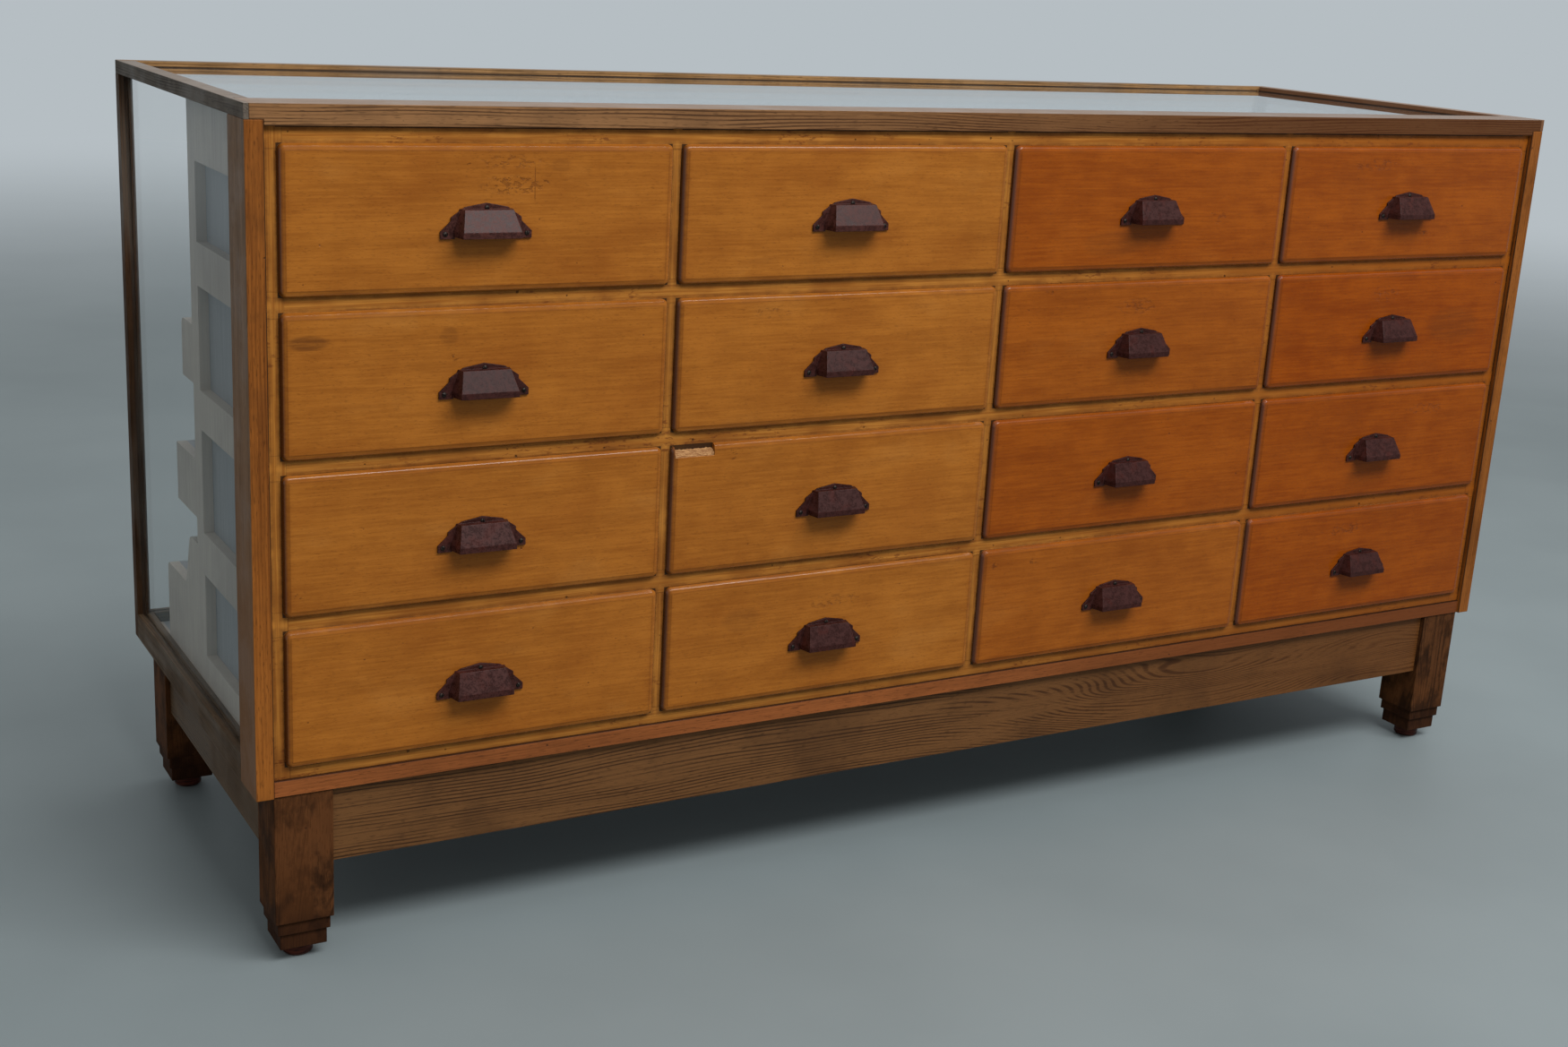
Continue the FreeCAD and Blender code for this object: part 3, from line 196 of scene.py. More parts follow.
class Surface:
    """A material made node by node. Its methods give back the socket they made."""

    def __init__(self, name, roughness=0.5, gleam=0.12):
        self.material = bpy.data.materials.new(name)
        self.material.use_nodes = True
        self.nodes = self.material.node_tree.nodes
        self.links = self.material.node_tree.links
        self.shader = self.nodes["Principled BSDF"]
        self.shader.inputs["Roughness"].default_value = roughness
        self.shader.inputs["Specular IOR Level"].default_value = gleam
        self.place = self.node("ShaderNodeTexCoord").outputs["Object"]
        parts = self.node("ShaderNodeSeparateXYZ")
        self.links.new(self.place, parts.inputs[0])
        self.x, self.y, self.z = parts.outputs

    def node(self, kind, **settings):
        node = self.nodes.new(kind)
        for name, setting in settings.items():
            setattr(node, name, setting)
        return node

    def put(self, socket, source):
        """Links the source to the socket, or sets the socket where the source is a plain value."""
        if isinstance(source, bpy.types.NodeSocket):
            self.links.new(source, socket)
        else:
            socket.default_value = source

    def math(self, operation, *values, clamp=False):
        node = self.node("ShaderNodeMath", operation=operation, use_clamp=clamp)
        for socket, source in zip(node.inputs, values):
            self.put(socket, source)
        return node.outputs["Value"]

    def plus(self, first, second, clamp=False):
        return self.math("ADD", first, second, clamp=clamp)

    def minus(self, first, second):
        return self.math("SUBTRACT", first, second)

    def times(self, first, second):
        return self.math("MULTIPLY", first, second)

    def over(self, first, second):
        return self.math("DIVIDE", first, second)

    def least(self, first, second):
        return self.math("MINIMUM", first, second)

    def most(self, first, second):
        return self.math("MAXIMUM", first, second)

    def unsigned(self, source):
        return self.math("ABSOLUTE", source)

    def below(self, source, limit):
        """1 where the source is less than the limit, and 0 elsewhere."""
        return self.math("LESS_THAN", source, limit)

    def above(self, source, limit):
        """1 where the source is more than the limit, and 0 elsewhere."""
        return self.math("GREATER_THAN", source, limit)

    def cell(self, source, start, pitch):
        """Number of the cell that the source lies in, counted from start in steps of pitch."""
        return self.math("FLOOR", self.over(self.minus(source, start), pitch))

    def past_cell_start(self, source, start, pitch):
        """How far the source lies past the start of its own cell."""
        return self.math("FLOORED_MODULO", self.minus(source, start), pitch)

    def vector(self, operation, first, second):
        node = self.node("ShaderNodeVectorMath", operation=operation)
        self.put(node.inputs[0], first)
        self.put(node.inputs[1], second)
        return node.outputs["Vector"]

    def join(self, x, y, z):
        node = self.node("ShaderNodeCombineXYZ")
        for socket, source in zip(node.inputs, (x, y, z)):
            self.put(socket, source)
        return node.outputs["Vector"]

    def ramp(self, source, start, end, first=0.0, last=1.0):
        """Goes smoothly from first to last as the source goes from start to end."""
        node = self.node("ShaderNodeMapRange", interpolation_type="SMOOTHSTEP")
        for socket, given in zip(node.inputs, (source, start, end, first, last)):
            self.put(socket, given)
        return node.outputs["Result"]

    def within(self, source, start, end, soft=0.0003):
        """1 where the source lies from start to end, and 0 outside."""
        rising = self.ramp(source, start - soft, start + soft)
        falling = self.ramp(source, end - soft, end + soft, 1.0, 0.0)
        return self.times(rising, falling)

    def oval(self, across, up, centre, half_size):
        """Squared distance from an oval's centre: 1 on its rim."""
        far_x = self.over(self.minus(across, centre[0]), half_size[0])
        far_z = self.over(self.minus(up, centre[1]), half_size[1])
        return self.plus(self.math("POWER", far_x, 2.0), self.math("POWER", far_z, 2.0))

    def mix(self, factor, first, second):
        """The second colour over the first, as far as the factor says."""
        node = self.node("ShaderNodeMix", data_type="RGBA")
        colours = [socket for socket in node.inputs if socket.type == "RGBA"]
        self.put(node.inputs["Factor"], factor)
        self.put(colours[0], first)
        self.put(colours[1], second)
        return [socket for socket in node.outputs if socket.type == "RGBA"][0]

    def chance(self, vector):
        """A value from 0 to 1 that is the same wherever the vector is."""
        node = self.node("ShaderNodeTexWhiteNoise")
        self.put(node.inputs["Vector"], vector)
        return node.outputs["Value"]

    def noise(self, scale, detail=2.0, roughness=0.5, place=None):
        """Cloudy noise. The scale is one number, or one each for X, Y and Z; larger is finer."""
        if isinstance(scale, float):
            scale = (scale, scale, scale)
        place = self.place if place is None else place
        node = self.node("ShaderNodeTexNoise")
        self.put(node.inputs["Vector"], self.vector("MULTIPLY", place, scale))
        node.inputs["Scale"].default_value = 1.0
        node.inputs["Detail"].default_value = detail
        node.inputs["Roughness"].default_value = roughness
        return node.outputs["Fac"]

    def streaks(self, place, along, length, width, detail=2.0, roughness=0.5):
        """Noise whose blobs are length long in the grain's direction and width across it."""
        scale = [1 / width] * 3
        scale["xyz".index(along)] = 1 / length
        return self.noise(scale, detail, roughness, place)

    def rings(self, place, along, spacing, wander, length, width):
        """Growth lines about spacing apart, which wander aside as they run along the board."""
        weights = [1.0, 0.8, 1.0]
        weights["xyz".index(along)] = 0.0
        node = self.node("ShaderNodeVectorMath", operation="DOT_PRODUCT")
        self.put(node.inputs[0], place)
        node.inputs[1].default_value = weights
        drift = self.streaks(place, along, length, width, roughness=0.4)
        shifted = self.math("MULTIPLY_ADD", drift, wander, node.outputs["Value"])
        wave = self.math("SINE", self.times(shifted, 2 * math.pi / spacing))
        return self.ramp(wave, -0.2, 1.0)

    def specks(self, size, apart, share):
        """Ragged dents about size across, in this share of the cells of a grid that is apart wide."""
        node = self.node("ShaderNodeTexVoronoi")
        ragged = self.noise(900.0)
        moved = self.vector("MULTIPLY", self.join(ragged, ragged, ragged), [0.0012] * 3)
        self.put(node.inputs["Vector"], self.vector("ADD", self.place, moved))
        node.inputs["Scale"].default_value = 1 / apart
        inner = 0.35 * size / apart
        outer = 0.65 * size / apart
        near = self.ramp(node.outputs["Distance"], inner, outer, 1.0, 0.0)
        shade = self.node("ShaderNodeSeparateColor")
        self.links.new(node.outputs["Color"], shade.inputs["Color"])
        return self.times(near, self.below(shade.outputs["Red"], share))

    def relief(self, height, depth):
        node = self.node("ShaderNodeBump")
        node.inputs["Distance"].default_value = depth
        self.put(node.inputs["Height"], height)
        self.put(self.shader.inputs["Normal"], node.outputs["Normal"])

    def finish(self, paint, roughness=None):
        self.put(self.shader.inputs["Base Color"], paint)
        if roughness is not None:
            self.put(self.shader.inputs["Roughness"], roughness)
        return self.material


def wood(surface, place, along, light, dark, figure, spacing, wander=0.05, pores=0.5):
    """Boards with growth lines, fine fibres and short dark pores. Gives the paint and the fibres."""
    lines = surface.rings(place, along, spacing, wander, length=0.55, width=0.09)
    patchy = surface.streaks(place, along, length=0.25, width=0.012, detail=3.0)
    lines = surface.times(lines, surface.ramp(patchy, 0.35, 0.62))
    fibres = surface.streaks(place, along, length=0.07, width=0.0020, detail=4.0, roughness=0.65)
    bands = surface.streaks(place, along, length=0.7, width=0.03, detail=3.0)
    tone = surface.times(lines, figure)
    tone = surface.math("MULTIPLY_ADD", fibres, 0.55, tone)
    tone = surface.math("MULTIPLY_ADD", bands, 0.75, tone)
    tone = surface.ramp(tone, 0.40, 0.85 + 0.8 * figure)
    paint = surface.mix(tone, light, dark)
    dashes = surface.streaks(place, along, length=0.012, width=0.0011, detail=1.0)
    dashes = surface.ramp(dashes, 0.60, 0.70, 0.0, pores)
    return surface.mix(dashes, paint, darker(dark, 0.35)), fibres


# The sixteen drawers.

def lacquered_paint(surface, own, fibres, warmth):
    """Beech under lacquer, honey-coloured to amber as warmth goes from 0 to 1."""
    bands = surface.streaks(own, "x", length=0.45, width=0.035, detail=3.0)
    flecks = surface.ramp(surface.streaks(own, "x", length=0.0045, width=0.0009, detail=1.0), 0.60, 0.72)
    clouds = surface.noise((7.0, 7.0, 12.0), 4.0, 0.55, own)
    shimmer = surface.noise((24.0, 24.0, 30.0), 3.0, 0.6, own)
    tone = surface.math("MULTIPLY_ADD", bands, 0.25, surface.times(fibres, 0.50))
    tone = surface.math("MULTIPLY_ADD", shimmer, 0.25, tone)
    tone = surface.ramp(tone, 0.36, 0.64)
    honey = surface.mix(tone, colour(173, 106, 37), colour(149, 87, 27))
    amber = surface.mix(tone, colour(156, 75, 8), colour(130, 56, 3))
    paint = surface.mix(warmth, honey, amber)
    paint = surface.mix(surface.ramp(clouds, 0.45, 0.72, 0.0, 0.3), paint, colour(130, 64, 14))
    paler = surface.times(surface.ramp(clouds, 0.28, 0.46, 0.22, 0.0), surface.minus(1.0, warmth))
    paint = surface.mix(paler, paint, colour(190, 130, 62))
    return surface.mix(surface.times(flecks, 0.30), paint, colour(84, 42, 12))


def border_grime_and_painted_light(surface, paint, inward_x, inward_z, from_sides, from_edge, rubbed, warmth):
    """Grime along a front's edges, the dark foot of its border, painted shade or sheen on the left border,
    and painted shade along the sides and foot.
    """
    edges = surface.ramp(from_edge, 0.002, 0.013, 1.0, 0.0)
    grime = surface.times(edges, surface.ramp(rubbed, 0.35, 0.65, 0.10, 0.38))
    paint = surface.mix(grime, paint, colour(112, 56, 14))
    border_foot = surface.times(surface.within(from_edge, 0.0060, 0.0074, 0.0007), 0.32)
    paint = surface.mix(border_foot, paint, colour(78, 38, 10))
    # Painted light on the left border: shade on the honey fronts, sheen on the amber ones.
    left_border_painted_shade_and_sheen = surface.mix(warmth, colour(72, 34, 10), colour(116, 62, 34))
    paint = surface.mix(surface.ramp(inward_x, 0.0010, 0.0075, 0.8, 0.0), paint, left_border_painted_shade_and_sheen)
    # Painted shade along the sides and the foot of each front, not its lit top.
    rim = surface.ramp(surface.least(from_sides, inward_z), 0.0003, 0.0030, 0.75, 0.0)
    return surface.mix(rim, paint, colour(58, 27, 9))


def spot(surface, row, column, centre, half_size):
    """An oval mark on one drawer front, its centre measured from the front's top left corner."""
    here = (front_left(column) + centre[0], front_top(row) - centre[1])
    return surface.ramp(surface.oval(surface.x, surface.z, here, half_size), 0.3, 1.0, 1.0, 0.0)


def drawer_marks(surface):
    """Dents all over, the scuffs and the scratch: 1 where they are deepest."""
    dents = surface.specks(size=0.0026, apart=0.045, share=0.45)
    small_dents = surface.specks(size=0.0014, apart=0.021, share=0.35)
    marks = surface.most(dents, small_dents)
    broken = surface.ramp(surface.noise((150.0, 150.0, 260.0), 5.0, 0.7), 0.54, 0.60)
    for row, column, centre, half_size, depth in DRAWER_MARKS:
        shape = surface.times(spot(surface, row, column, centre, half_size), broken)
        marks = surface.most(marks, surface.times(shape, depth))
    left = front_left(0) + SCRATCH_ASIDE
    top = front_top(0) - SCRATCH_DOWN
    line = surface.within(surface.x, left, left + SCRATCH_WIDTH, 0.0004)
    line = surface.times(line, surface.within(surface.z, top - SCRATCH_LENGTH, top, 0.004))
    return surface.most(marks, surface.times(line, 0.75))


def stained(surface, paint, fibres):
    """Brown stains, the most in the open fibres."""
    for row, column, centre, half_size, depth in DRAWER_STAINS:
        stain = spot(surface, row, column, centre, half_size)
        stain = surface.times(stain, surface.ramp(fibres, 0.35, 0.6, 0.5 * depth, depth))
        paint = surface.mix(stain, paint, colour(98, 54, 20))
    return paint


def drawer_box_paint(surface, own, from_sides):
    """Bare beech of the box behind a front, with the grain of its two sides along Y."""
    in_side = surface.below(from_sides, BOX_SIDE_END + 0.0002)
    level = surface.streaks(own, "x", length=0.3, width=0.006, detail=3.0)
    inward = surface.streaks(own, "y", length=0.3, width=0.006, detail=3.0)
    level = surface.times(level, surface.minus(1.0, in_side))
    bands = surface.plus(surface.times(inward, in_side), level)
    return surface.mix(surface.ramp(bands, 0.35, 0.7), colour(188, 150, 104), colour(158, 118, 76))


def drawer_wood():
    """Lacquered fronts, redder to the right, and bare boxes behind them."""
    surface = Surface("lacquered_beech", gleam=0.10)
    surface.shader.inputs["Coat Roughness"].default_value = 0.16
    column = surface.cell(surface.x, FIRST_FRONT - COLUMN_GAP / 2, COLUMN_PITCH)
    row = surface.cell(surface.z, LOWEST_FRONT - ROW_GAP / 2, ROW_PITCH)
    left = surface.math("MULTIPLY_ADD", column, COLUMN_PITCH, FIRST_FRONT)
    foot = surface.math("MULTIPLY_ADD", row, ROW_PITCH, LOWEST_FRONT)
    inward_x = surface.minus(surface.x, left)
    inward_z = surface.minus(surface.z, foot)
    from_sides = surface.least(inward_x, surface.minus(FRONT_WIDTH, inward_x))
    from_top = surface.minus(FRONT_HEIGHT, inward_z)
    from_edge = surface.least(from_sides, surface.least(inward_z, from_top))

    # Each front is cut from its own stretch of wood and has its own share of red.
    apart = surface.join(surface.times(column, 5.3), 0.0, surface.times(row, 3.7))
    own = surface.vector("ADD", surface.place, apart)
    luck = surface.chance(surface.join(column, row, 0.0))
    warmth = surface.ramp(column, 1.0, 2.6)
    warmth = surface.math("MULTIPLY_ADD", surface.minus(luck, 0.6), 0.4, warmth, clamp=True)
    fibres = surface.streaks(own, "x", length=0.060, width=0.0024, detail=4.0, roughness=0.7)
    rubbed = surface.noise((40.0, 40.0, 120.0), 3.0, place=own)

    paint = lacquered_paint(surface, own, fibres, warmth)
    paint = border_grime_and_painted_light(surface, paint, inward_x, inward_z, from_sides, from_edge, rubbed, warmth)
    # Below each pull: hand grime and a painted shadow of the pull.
    pull_shadow_and_smudge = surface.oval(inward_x, inward_z, (FRONT_WIDTH / 2, PULL_SHADOW_AND_SMUDGE_MIDDLE_Z), PULL_SHADOW_AND_SMUDGE_HALF_SIZE)
    paint = surface.mix(surface.ramp(pull_shadow_and_smudge, 0.0, 1.0, 0.15, 0.0), paint, colour(112, 56, 20))
    marks = drawer_marks(surface)
    paint = stained(surface, paint, fibres)
    paint = surface.mix(surface.times(marks, 0.60), paint, colour(84, 38, 16))
    behind = surface.above(surface.y, FRONT_BACK_Y - 0.0005)
    paint = surface.mix(behind, paint, drawer_box_paint(surface, own, from_sides))

    gloss = surface.ramp(rubbed, 0.3, 0.7, 0.20, 0.34)
    gloss = surface.most(gloss, surface.times(behind, 0.65))
    lacquer = surface.ramp(from_edge, 0.0015, 0.0045, 0.8, 0.06)
    lacquer = surface.times(lacquer, surface.minus(1.0, behind))
    surface.put(surface.shader.inputs["Coat Weight"], lacquer)
    surface.relief(surface.math("MULTIPLY_ADD", marks, -1.0, surface.times(fibres, 0.10)), 0.0005)
    return surface.finish(paint, gloss)


def bare_beech():
    """Torn wood that no lacquer has reached."""
    surface = Surface("bare_beech", roughness=0.8)
    threads = surface.streaks(surface.place, "x", length=0.010, width=0.0007, detail=3.0, roughness=0.7)
    paint = surface.mix(surface.ramp(threads, 0.35, 0.65), colour(196, 150, 102), colour(132, 86, 50))
    surface.relief(threads, 0.0008)
    return surface.finish(paint)


# The frame that the drawers sit in.

def frame_wood(surface, upright):
    """Beech with its grain along X, or along Z where upright is 1. Gives the paint and the fibres."""
    level, standing = [
        surface.streaks(surface.place, along, length=0.10, width=0.0022, detail=3.0, roughness=0.6)
        for along in "xz"]
    level = surface.times(level, surface.minus(1.0, upright))
    fibres = surface.plus(level, surface.times(standing, upright))
    clouds = surface.noise(11.0, 3.0)
    paint = surface.mix(surface.ramp(fibres, 0.3, 0.7), colour(193, 129, 54), colour(155, 94, 33))
    paint = surface.mix(surface.ramp(clouds, 0.42, 0.66, 0.0, 0.6), paint, colour(132, 74, 24))
    paint = surface.mix(surface.ramp(surface.x, -0.1, 0.8, 0.0, 0.8), paint, colour(150, 78, 14))
    # Painted shade: darker towards the foot of the frame, where less of the light from above reaches.
    painted_shade_near_foot = surface.ramp(surface.z, LOWEST_OPENING - 0.030, LOWEST_OPENING + 0.05, 0.25, 0.0)
    return surface.mix(painted_shade_near_foot, paint, colour(110, 64, 28)), fibres


def frame_dirt_and_shade(surface, paint, dust):
    """Dirt and painted shade beside the drawer lips, scuffs, and the wood that the lips cover, painted dark
    as unfinished wood and as shade.
    """
    lip_x = surface.past_cell_start(surface.x, FIRST_FRONT, COLUMN_PITCH)
    lip_z = surface.past_cell_start(surface.z, LOWEST_FRONT, ROW_PITCH)
    gap_x = surface.least(surface.minus(lip_x, FRONT_WIDTH), surface.minus(COLUMN_PITCH, lip_x))
    gap_z = surface.least(surface.minus(lip_z, FRONT_HEIGHT), surface.minus(ROW_PITCH, lip_z))
    # Dirt and painted shade on the frame between the lips, where it lies recessed behind them.
    dirt_and_shade_near_lip = surface.ramp(surface.most(gap_x, gap_z), 0.0, 0.007, 0.6, 0.0)
    dirt = surface.times(dirt_and_shade_near_lip, surface.ramp(dust, 0.30, 0.66, 0.3, 1.0))
    paint = surface.mix(dirt, paint, colour(92, 52, 22))
    scuffs = surface.ramp(surface.noise((90.0, 90.0, 260.0), 4.0, 0.7), 0.56, 0.64)
    scuffs = surface.times(scuffs, surface.ramp(surface.noise(9.0), 0.48, 0.62))
    paint = surface.mix(surface.times(scuffs, 0.65), paint, colour(98, 46, 20))
    # The wood behind the lips is painted dark: unfinished wood, and painted shade of the gap seen where a
    # lip has split off.
    hidden_wood_and_shade = surface.times(surface.below(lip_x, FRONT_WIDTH), surface.below(lip_z, FRONT_HEIGHT))
    return surface.mix(surface.times(hidden_wood_and_shade, 0.9), paint, colour(44, 27, 15))


def joint_lines(surface, paint):
    """Dark joints where the face frame meets the posts and the base rail."""
    beside = surface.minus(surface.unsigned(surface.x), POST_INNER_X)
    under = surface.minus(surface.z, FRAME_FOOT_Z)
    nearest = surface.least(surface.unsigned(beside), surface.unsigned(under))
    return surface.mix(surface.ramp(nearest, 0.0005, 0.0012, 0.85, 0.0), paint, colour(36, 21, 13))


def face_frame_wood():
    """Paler beech than the drawers, with dirt and painted shade beside the lips, dents and fine seams."""
    surface = Surface("dusty_beech", roughness=0.55)
    across = surface.past_cell_start(surface.x, FIRST_OPENING, COLUMN_PITCH)
    up = surface.past_cell_start(surface.z, LOWEST_OPENING, ROW_PITCH)
    in_divider = surface.above(across, OPENING_WIDTH)
    over_foot = surface.above(surface.minus(surface.z, LOWEST_OPENING), 0.0)
    in_opening = surface.times(surface.below(up, OPENING_HEIGHT), over_foot)
    out = surface.unsigned(surface.x)
    in_stile = surface.above(out, -FIRST_OPENING)
    upright = surface.most(surface.times(in_divider, in_opening), in_stile)

    paint, fibres = frame_wood(surface, upright)
    dust = surface.noise((60.0, 60.0, 90.0), 5.0, 0.7)
    paint = frame_dirt_and_shade(surface, paint, dust)
    large_dents = surface.specks(size=0.0032, apart=0.030, share=0.4)
    small_dents = surface.specks(size=0.0018, apart=0.013, share=0.3)
    dents = surface.most(large_dents, small_dents)
    paint = surface.mix(surface.times(dents, 0.75), paint, colour(62, 36, 18))
    stile_seam = surface.below(surface.unsigned(surface.plus(out, FIRST_OPENING)), 0.0005)
    from_top = surface.unsigned(surface.minus(up, OPENING_HEIGHT))
    divider_end = surface.below(surface.least(surface.unsigned(up), from_top), 0.0005)
    seams = surface.most(stile_seam, surface.times(in_divider, divider_end))
    paint = surface.mix(surface.times(seams, 0.2), paint, colour(52, 32, 18))
    paint = joint_lines(surface, paint)
    surface.relief(surface.minus(surface.times(fibres, 0.3), surface.most(dents, seams)), 0.0008)
    return surface.finish(paint, surface.ramp(dust, 0.35, 0.65, 0.34, 0.6))


# Oak of the case and the plinth.

def oak(name, along, light, dark, figure, spacing=0.0036, wander=0.03, dirt=0.25, gloss=(0.38, 0.6)):
    """Oak with dirt and dents. Gives the surface, its paint and its roughness."""
    surface = Surface(name)
    paint, fibres = wood(surface, surface.place, along, light, dark, figure, spacing, wander)
    patches = surface.noise(13.0, 4.0, 0.6)
    paint = surface.mix(surface.ramp(patches, 0.45, 0.72, 0.0, dirt), paint, darker(dark, 0.55))
    dents = surface.specks(size=0.0024, apart=0.028, share=0.35)
    paint = surface.mix(surface.times(dents, 0.6), paint, colour(34, 22, 14))
    surface.relief(surface.minus(surface.times(fibres, 0.5), dents), 0.0006)
    return surface, paint, surface.ramp(patches, 0.35, 0.65, *gloss)


def cracked(surface, paint, along, share):
    """Fine dark cracks along the grain."""
    cracks = surface.ramp(surface.streaks(surface.place, along, length=0.12, width=0.0016), 0.64, 0.70)
    return surface.mix(surface.times(cracks, share), paint, colour(30, 20, 14))


def rail_dust_and_glass_shade(surface, paint):
    """Pale dust on the top of the rails, and a dark line where the top glass meets them: grime with painted
    shade of the gap.
    """
    margin = 0.0008
    on_top = surface.ramp(surface.z, RAIL_TOP_Z - margin, RAIL_TOP_Z - 0.0002, 0.0, 0.6)
    paint = surface.mix(on_top, paint, colour(146, 134, 124))
    out = surface.unsigned(surface.x)
    in_depth = surface.within(surface.y, FRONT_REBATE_Y, REAR_REBATE_Y + margin)
    in_rebate = surface.times(surface.below(out, END_REBATE_X + margin), in_depth)
    behind = surface.above(surface.y, REAR_REBATE_Y - margin)
    beside = surface.above(out, END_REBATE_X - margin)
    # Grime and painted shade in the gap where the top glass sits in its rebate.
    grime_and_shade_by_glass = surface.ramp(surface.z, GLASS_TOP_Z + margin, GLASS_TOP_Z + 0.0022, 0.85, 0.0)
    line = surface.times(surface.most(behind, beside), surface.times(in_rebate, grime_and_shade_by_glass))
    line = surface.times(line, surface.above(surface.z, GLASS_TOP_Z - 0.0010))
    return surface.mix(line, paint, colour(40, 29, 22))


def weathered_oak(name, along, light, dark, brown_end=0.0):
    """Dry greyed oak with fine cracks along the grain, browner towards the right end where asked."""
    surface, paint, gloss = oak(name, along, light, dark, figure=0.35, dirt=0.4, gloss=(0.5, 0.75))
    paint = cracked(surface, paint, along, 0.8)
    faded = surface.streaks(surface.place, along, length=0.2, width=0.02, detail=3.0)
    paint = surface.mix(surface.ramp(faded, 0.45, 0.7, 0.0, 0.35), paint, colour(128, 118, 106))
    paint = surface.mix(surface.ramp(surface.x, 0.2, 0.8, 0.0, brown_end), paint, colour(122, 78, 46))
    return surface.finish(rail_dust_and_glass_shade(surface, paint), gloss)


def front_post_oak():
    """Posts by the drawers: warm lacquered faces, and dry greyed sides."""
    light = colour(164, 98, 38)
    dark = colour(104, 56, 18)
    surface, paint, gloss = oak("front_post_oak", "z", light, dark, figure=0.15, dirt=0.4)
    light = colour(146, 113, 84)
    dark = colour(94, 68, 46)
    side, _ = wood(surface, surface.place, "z", light, dark, figure=0.15, spacing=0.0036, wander=0.03)
    side = surface.mix(surface.ramp(surface.z, 0.3, 0.8, 0.75, 0.0), side, colour(124, 81, 44))
    side = cracked(surface, side, "z", 0.6)
    out = surface.unsigned(surface.x)
    on_side = surface.ramp(out, CASE_END_X - 0.0007, CASE_END_X - 0.0002)
    paint = surface.mix(on_side, paint, side)
    on_face = surface.below(surface.y, POST_FACE_Y + 0.0012)
    joint = surface.ramp(out, POST_INNER_X + 0.0007, POST_INNER_X + 0.0016, 0.85, 0.0)
    paint = surface.mix(surface.times(joint, on_face), paint, colour(40, 24, 14))
    return surface.finish(paint, gloss)


def base_rail_oak():
    """Plain reddish rail with a dark joint along its top, under the face frame."""
    light = colour(160, 92, 47)
    dark = colour(122, 69, 34)
    surface, paint, gloss = oak("base_rail_oak", "x", light, dark, figure=0.08)
    paint = surface.mix(surface.ramp(surface.x, -0.2, 0.8, 0.0, 0.75), paint, colour(98, 50, 20))
    joint = surface.ramp(surface.z, FRAME_FOOT_Z - 0.0009, FRAME_FOOT_Z - 0.0003, 0.0, 0.85)
    return surface.finish(surface.mix(joint, paint, colour(36, 21, 13)), gloss)


def front_rail_oak():
    """The rail over the drawers, redder towards the far end."""
    light = colour(148, 106, 68)
    dark = colour(80, 53, 32)
    surface, paint, gloss = oak("front_rail_oak", "x", light, dark, figure=0.9, spacing=0.0034,
                                wander=0.035)
    paint = cracked(surface, paint, "x", 0.5)
    paint = surface.mix(surface.ramp(surface.x, -0.6, 0.6, 0.0, 0.78), paint, colour(72, 33, 5))
    return surface.finish(rail_dust_and_glass_shade(surface, paint), gloss)


def apron_oak():
    """Front and rear aprons run along X, and the two at the ends along Y."""
    surface = Surface("apron_oak")
    wander = surface.ramp(surface.x, -0.1, 0.45, 0.05, 0.17)
    light = colour(118, 80, 46)
    dark = colour(66, 42, 24)
    paint, fibres = wood(surface, surface.place, "x", light, dark, figure=0.9, spacing=0.0044, wander=wander)
    light = colour(104, 80, 56)
    dark = colour(60, 45, 31)
    end_paint, _ = wood(surface, surface.place, "y", light, dark, figure=0.4, spacing=0.0042, pores=0.4)
    at_end = surface.above(surface.unsigned(surface.x), APRON_END_X)
    paint = surface.mix(at_end, paint, end_paint)
    paint = surface.mix(surface.ramp(surface.x, -0.3, 0.9, 0.0, 0.5), paint, colour(98, 54, 18))
    patches = surface.noise(7.0, 4.0, 0.6)
    paint = surface.mix(surface.ramp(patches, 0.45, 0.7, 0.0, 0.35), paint, colour(44, 28, 18))
    surface.relief(fibres, 0.0005)
    return surface.finish(paint, surface.ramp(patches, 0.35, 0.65, 0.38, 0.58))


def leg_oak():
    """Legs, mottled, and darkest at the stepped feet."""
    light = colour(99, 61, 34)
    dark = colour(56, 34, 19)
    surface, paint, gloss = oak("leg_oak", "z", light, dark, figure=0.45, spacing=0.006, wander=0.25,
                                dirt=0.3, gloss=(0.6, 0.8))
    surface.shader.inputs["Specular IOR Level"].default_value = 0.05
    mottle = surface.noise((38.0, 38.0, 26.0), 4.0, 0.65)
    paint = surface.mix(surface.ramp(mottle, 0.44, 0.62, 0.0, 0.7), paint, colour(40, 24, 14))
    warm = surface.noise((24.0, 24.0, 15.0), 3.0)
    paint = surface.mix(surface.ramp(warm, 0.48, 0.62, 0.0, 0.3), paint, colour(104, 62, 32))
    paint = surface.mix(surface.ramp(surface.z, 0.036, 0.070, 0.7, 0.0), paint, colour(40, 22, 14))
    return surface.finish(paint, gloss)


# The other finishes.

def turned_wood():
    surface = Surface("turned_wood")
    waves = surface.noise((60.0, 60.0, 500.0), 3.0, 0.6)
    paint = surface.mix(surface.ramp(waves, 0.35, 0.65), colour(84, 40, 28), colour(38, 17, 13))
    surface.relief(waves, 0.0003)
    return surface.finish(paint, surface.ramp(waves, 0.3, 0.7, 0.28, 0.5))


def softwood():
    surface = Surface("softwood", roughness=0.7)
    light = colour(186, 152, 108)
    dark = colour(150, 112, 72)
    paint, fibres = wood(surface, surface.place, "y", light, dark, figure=0.6, spacing=0.008,
                         wander=0.06, pores=0.15)
    surface.relief(fibres, 0.0004)
    return surface.finish(paint)


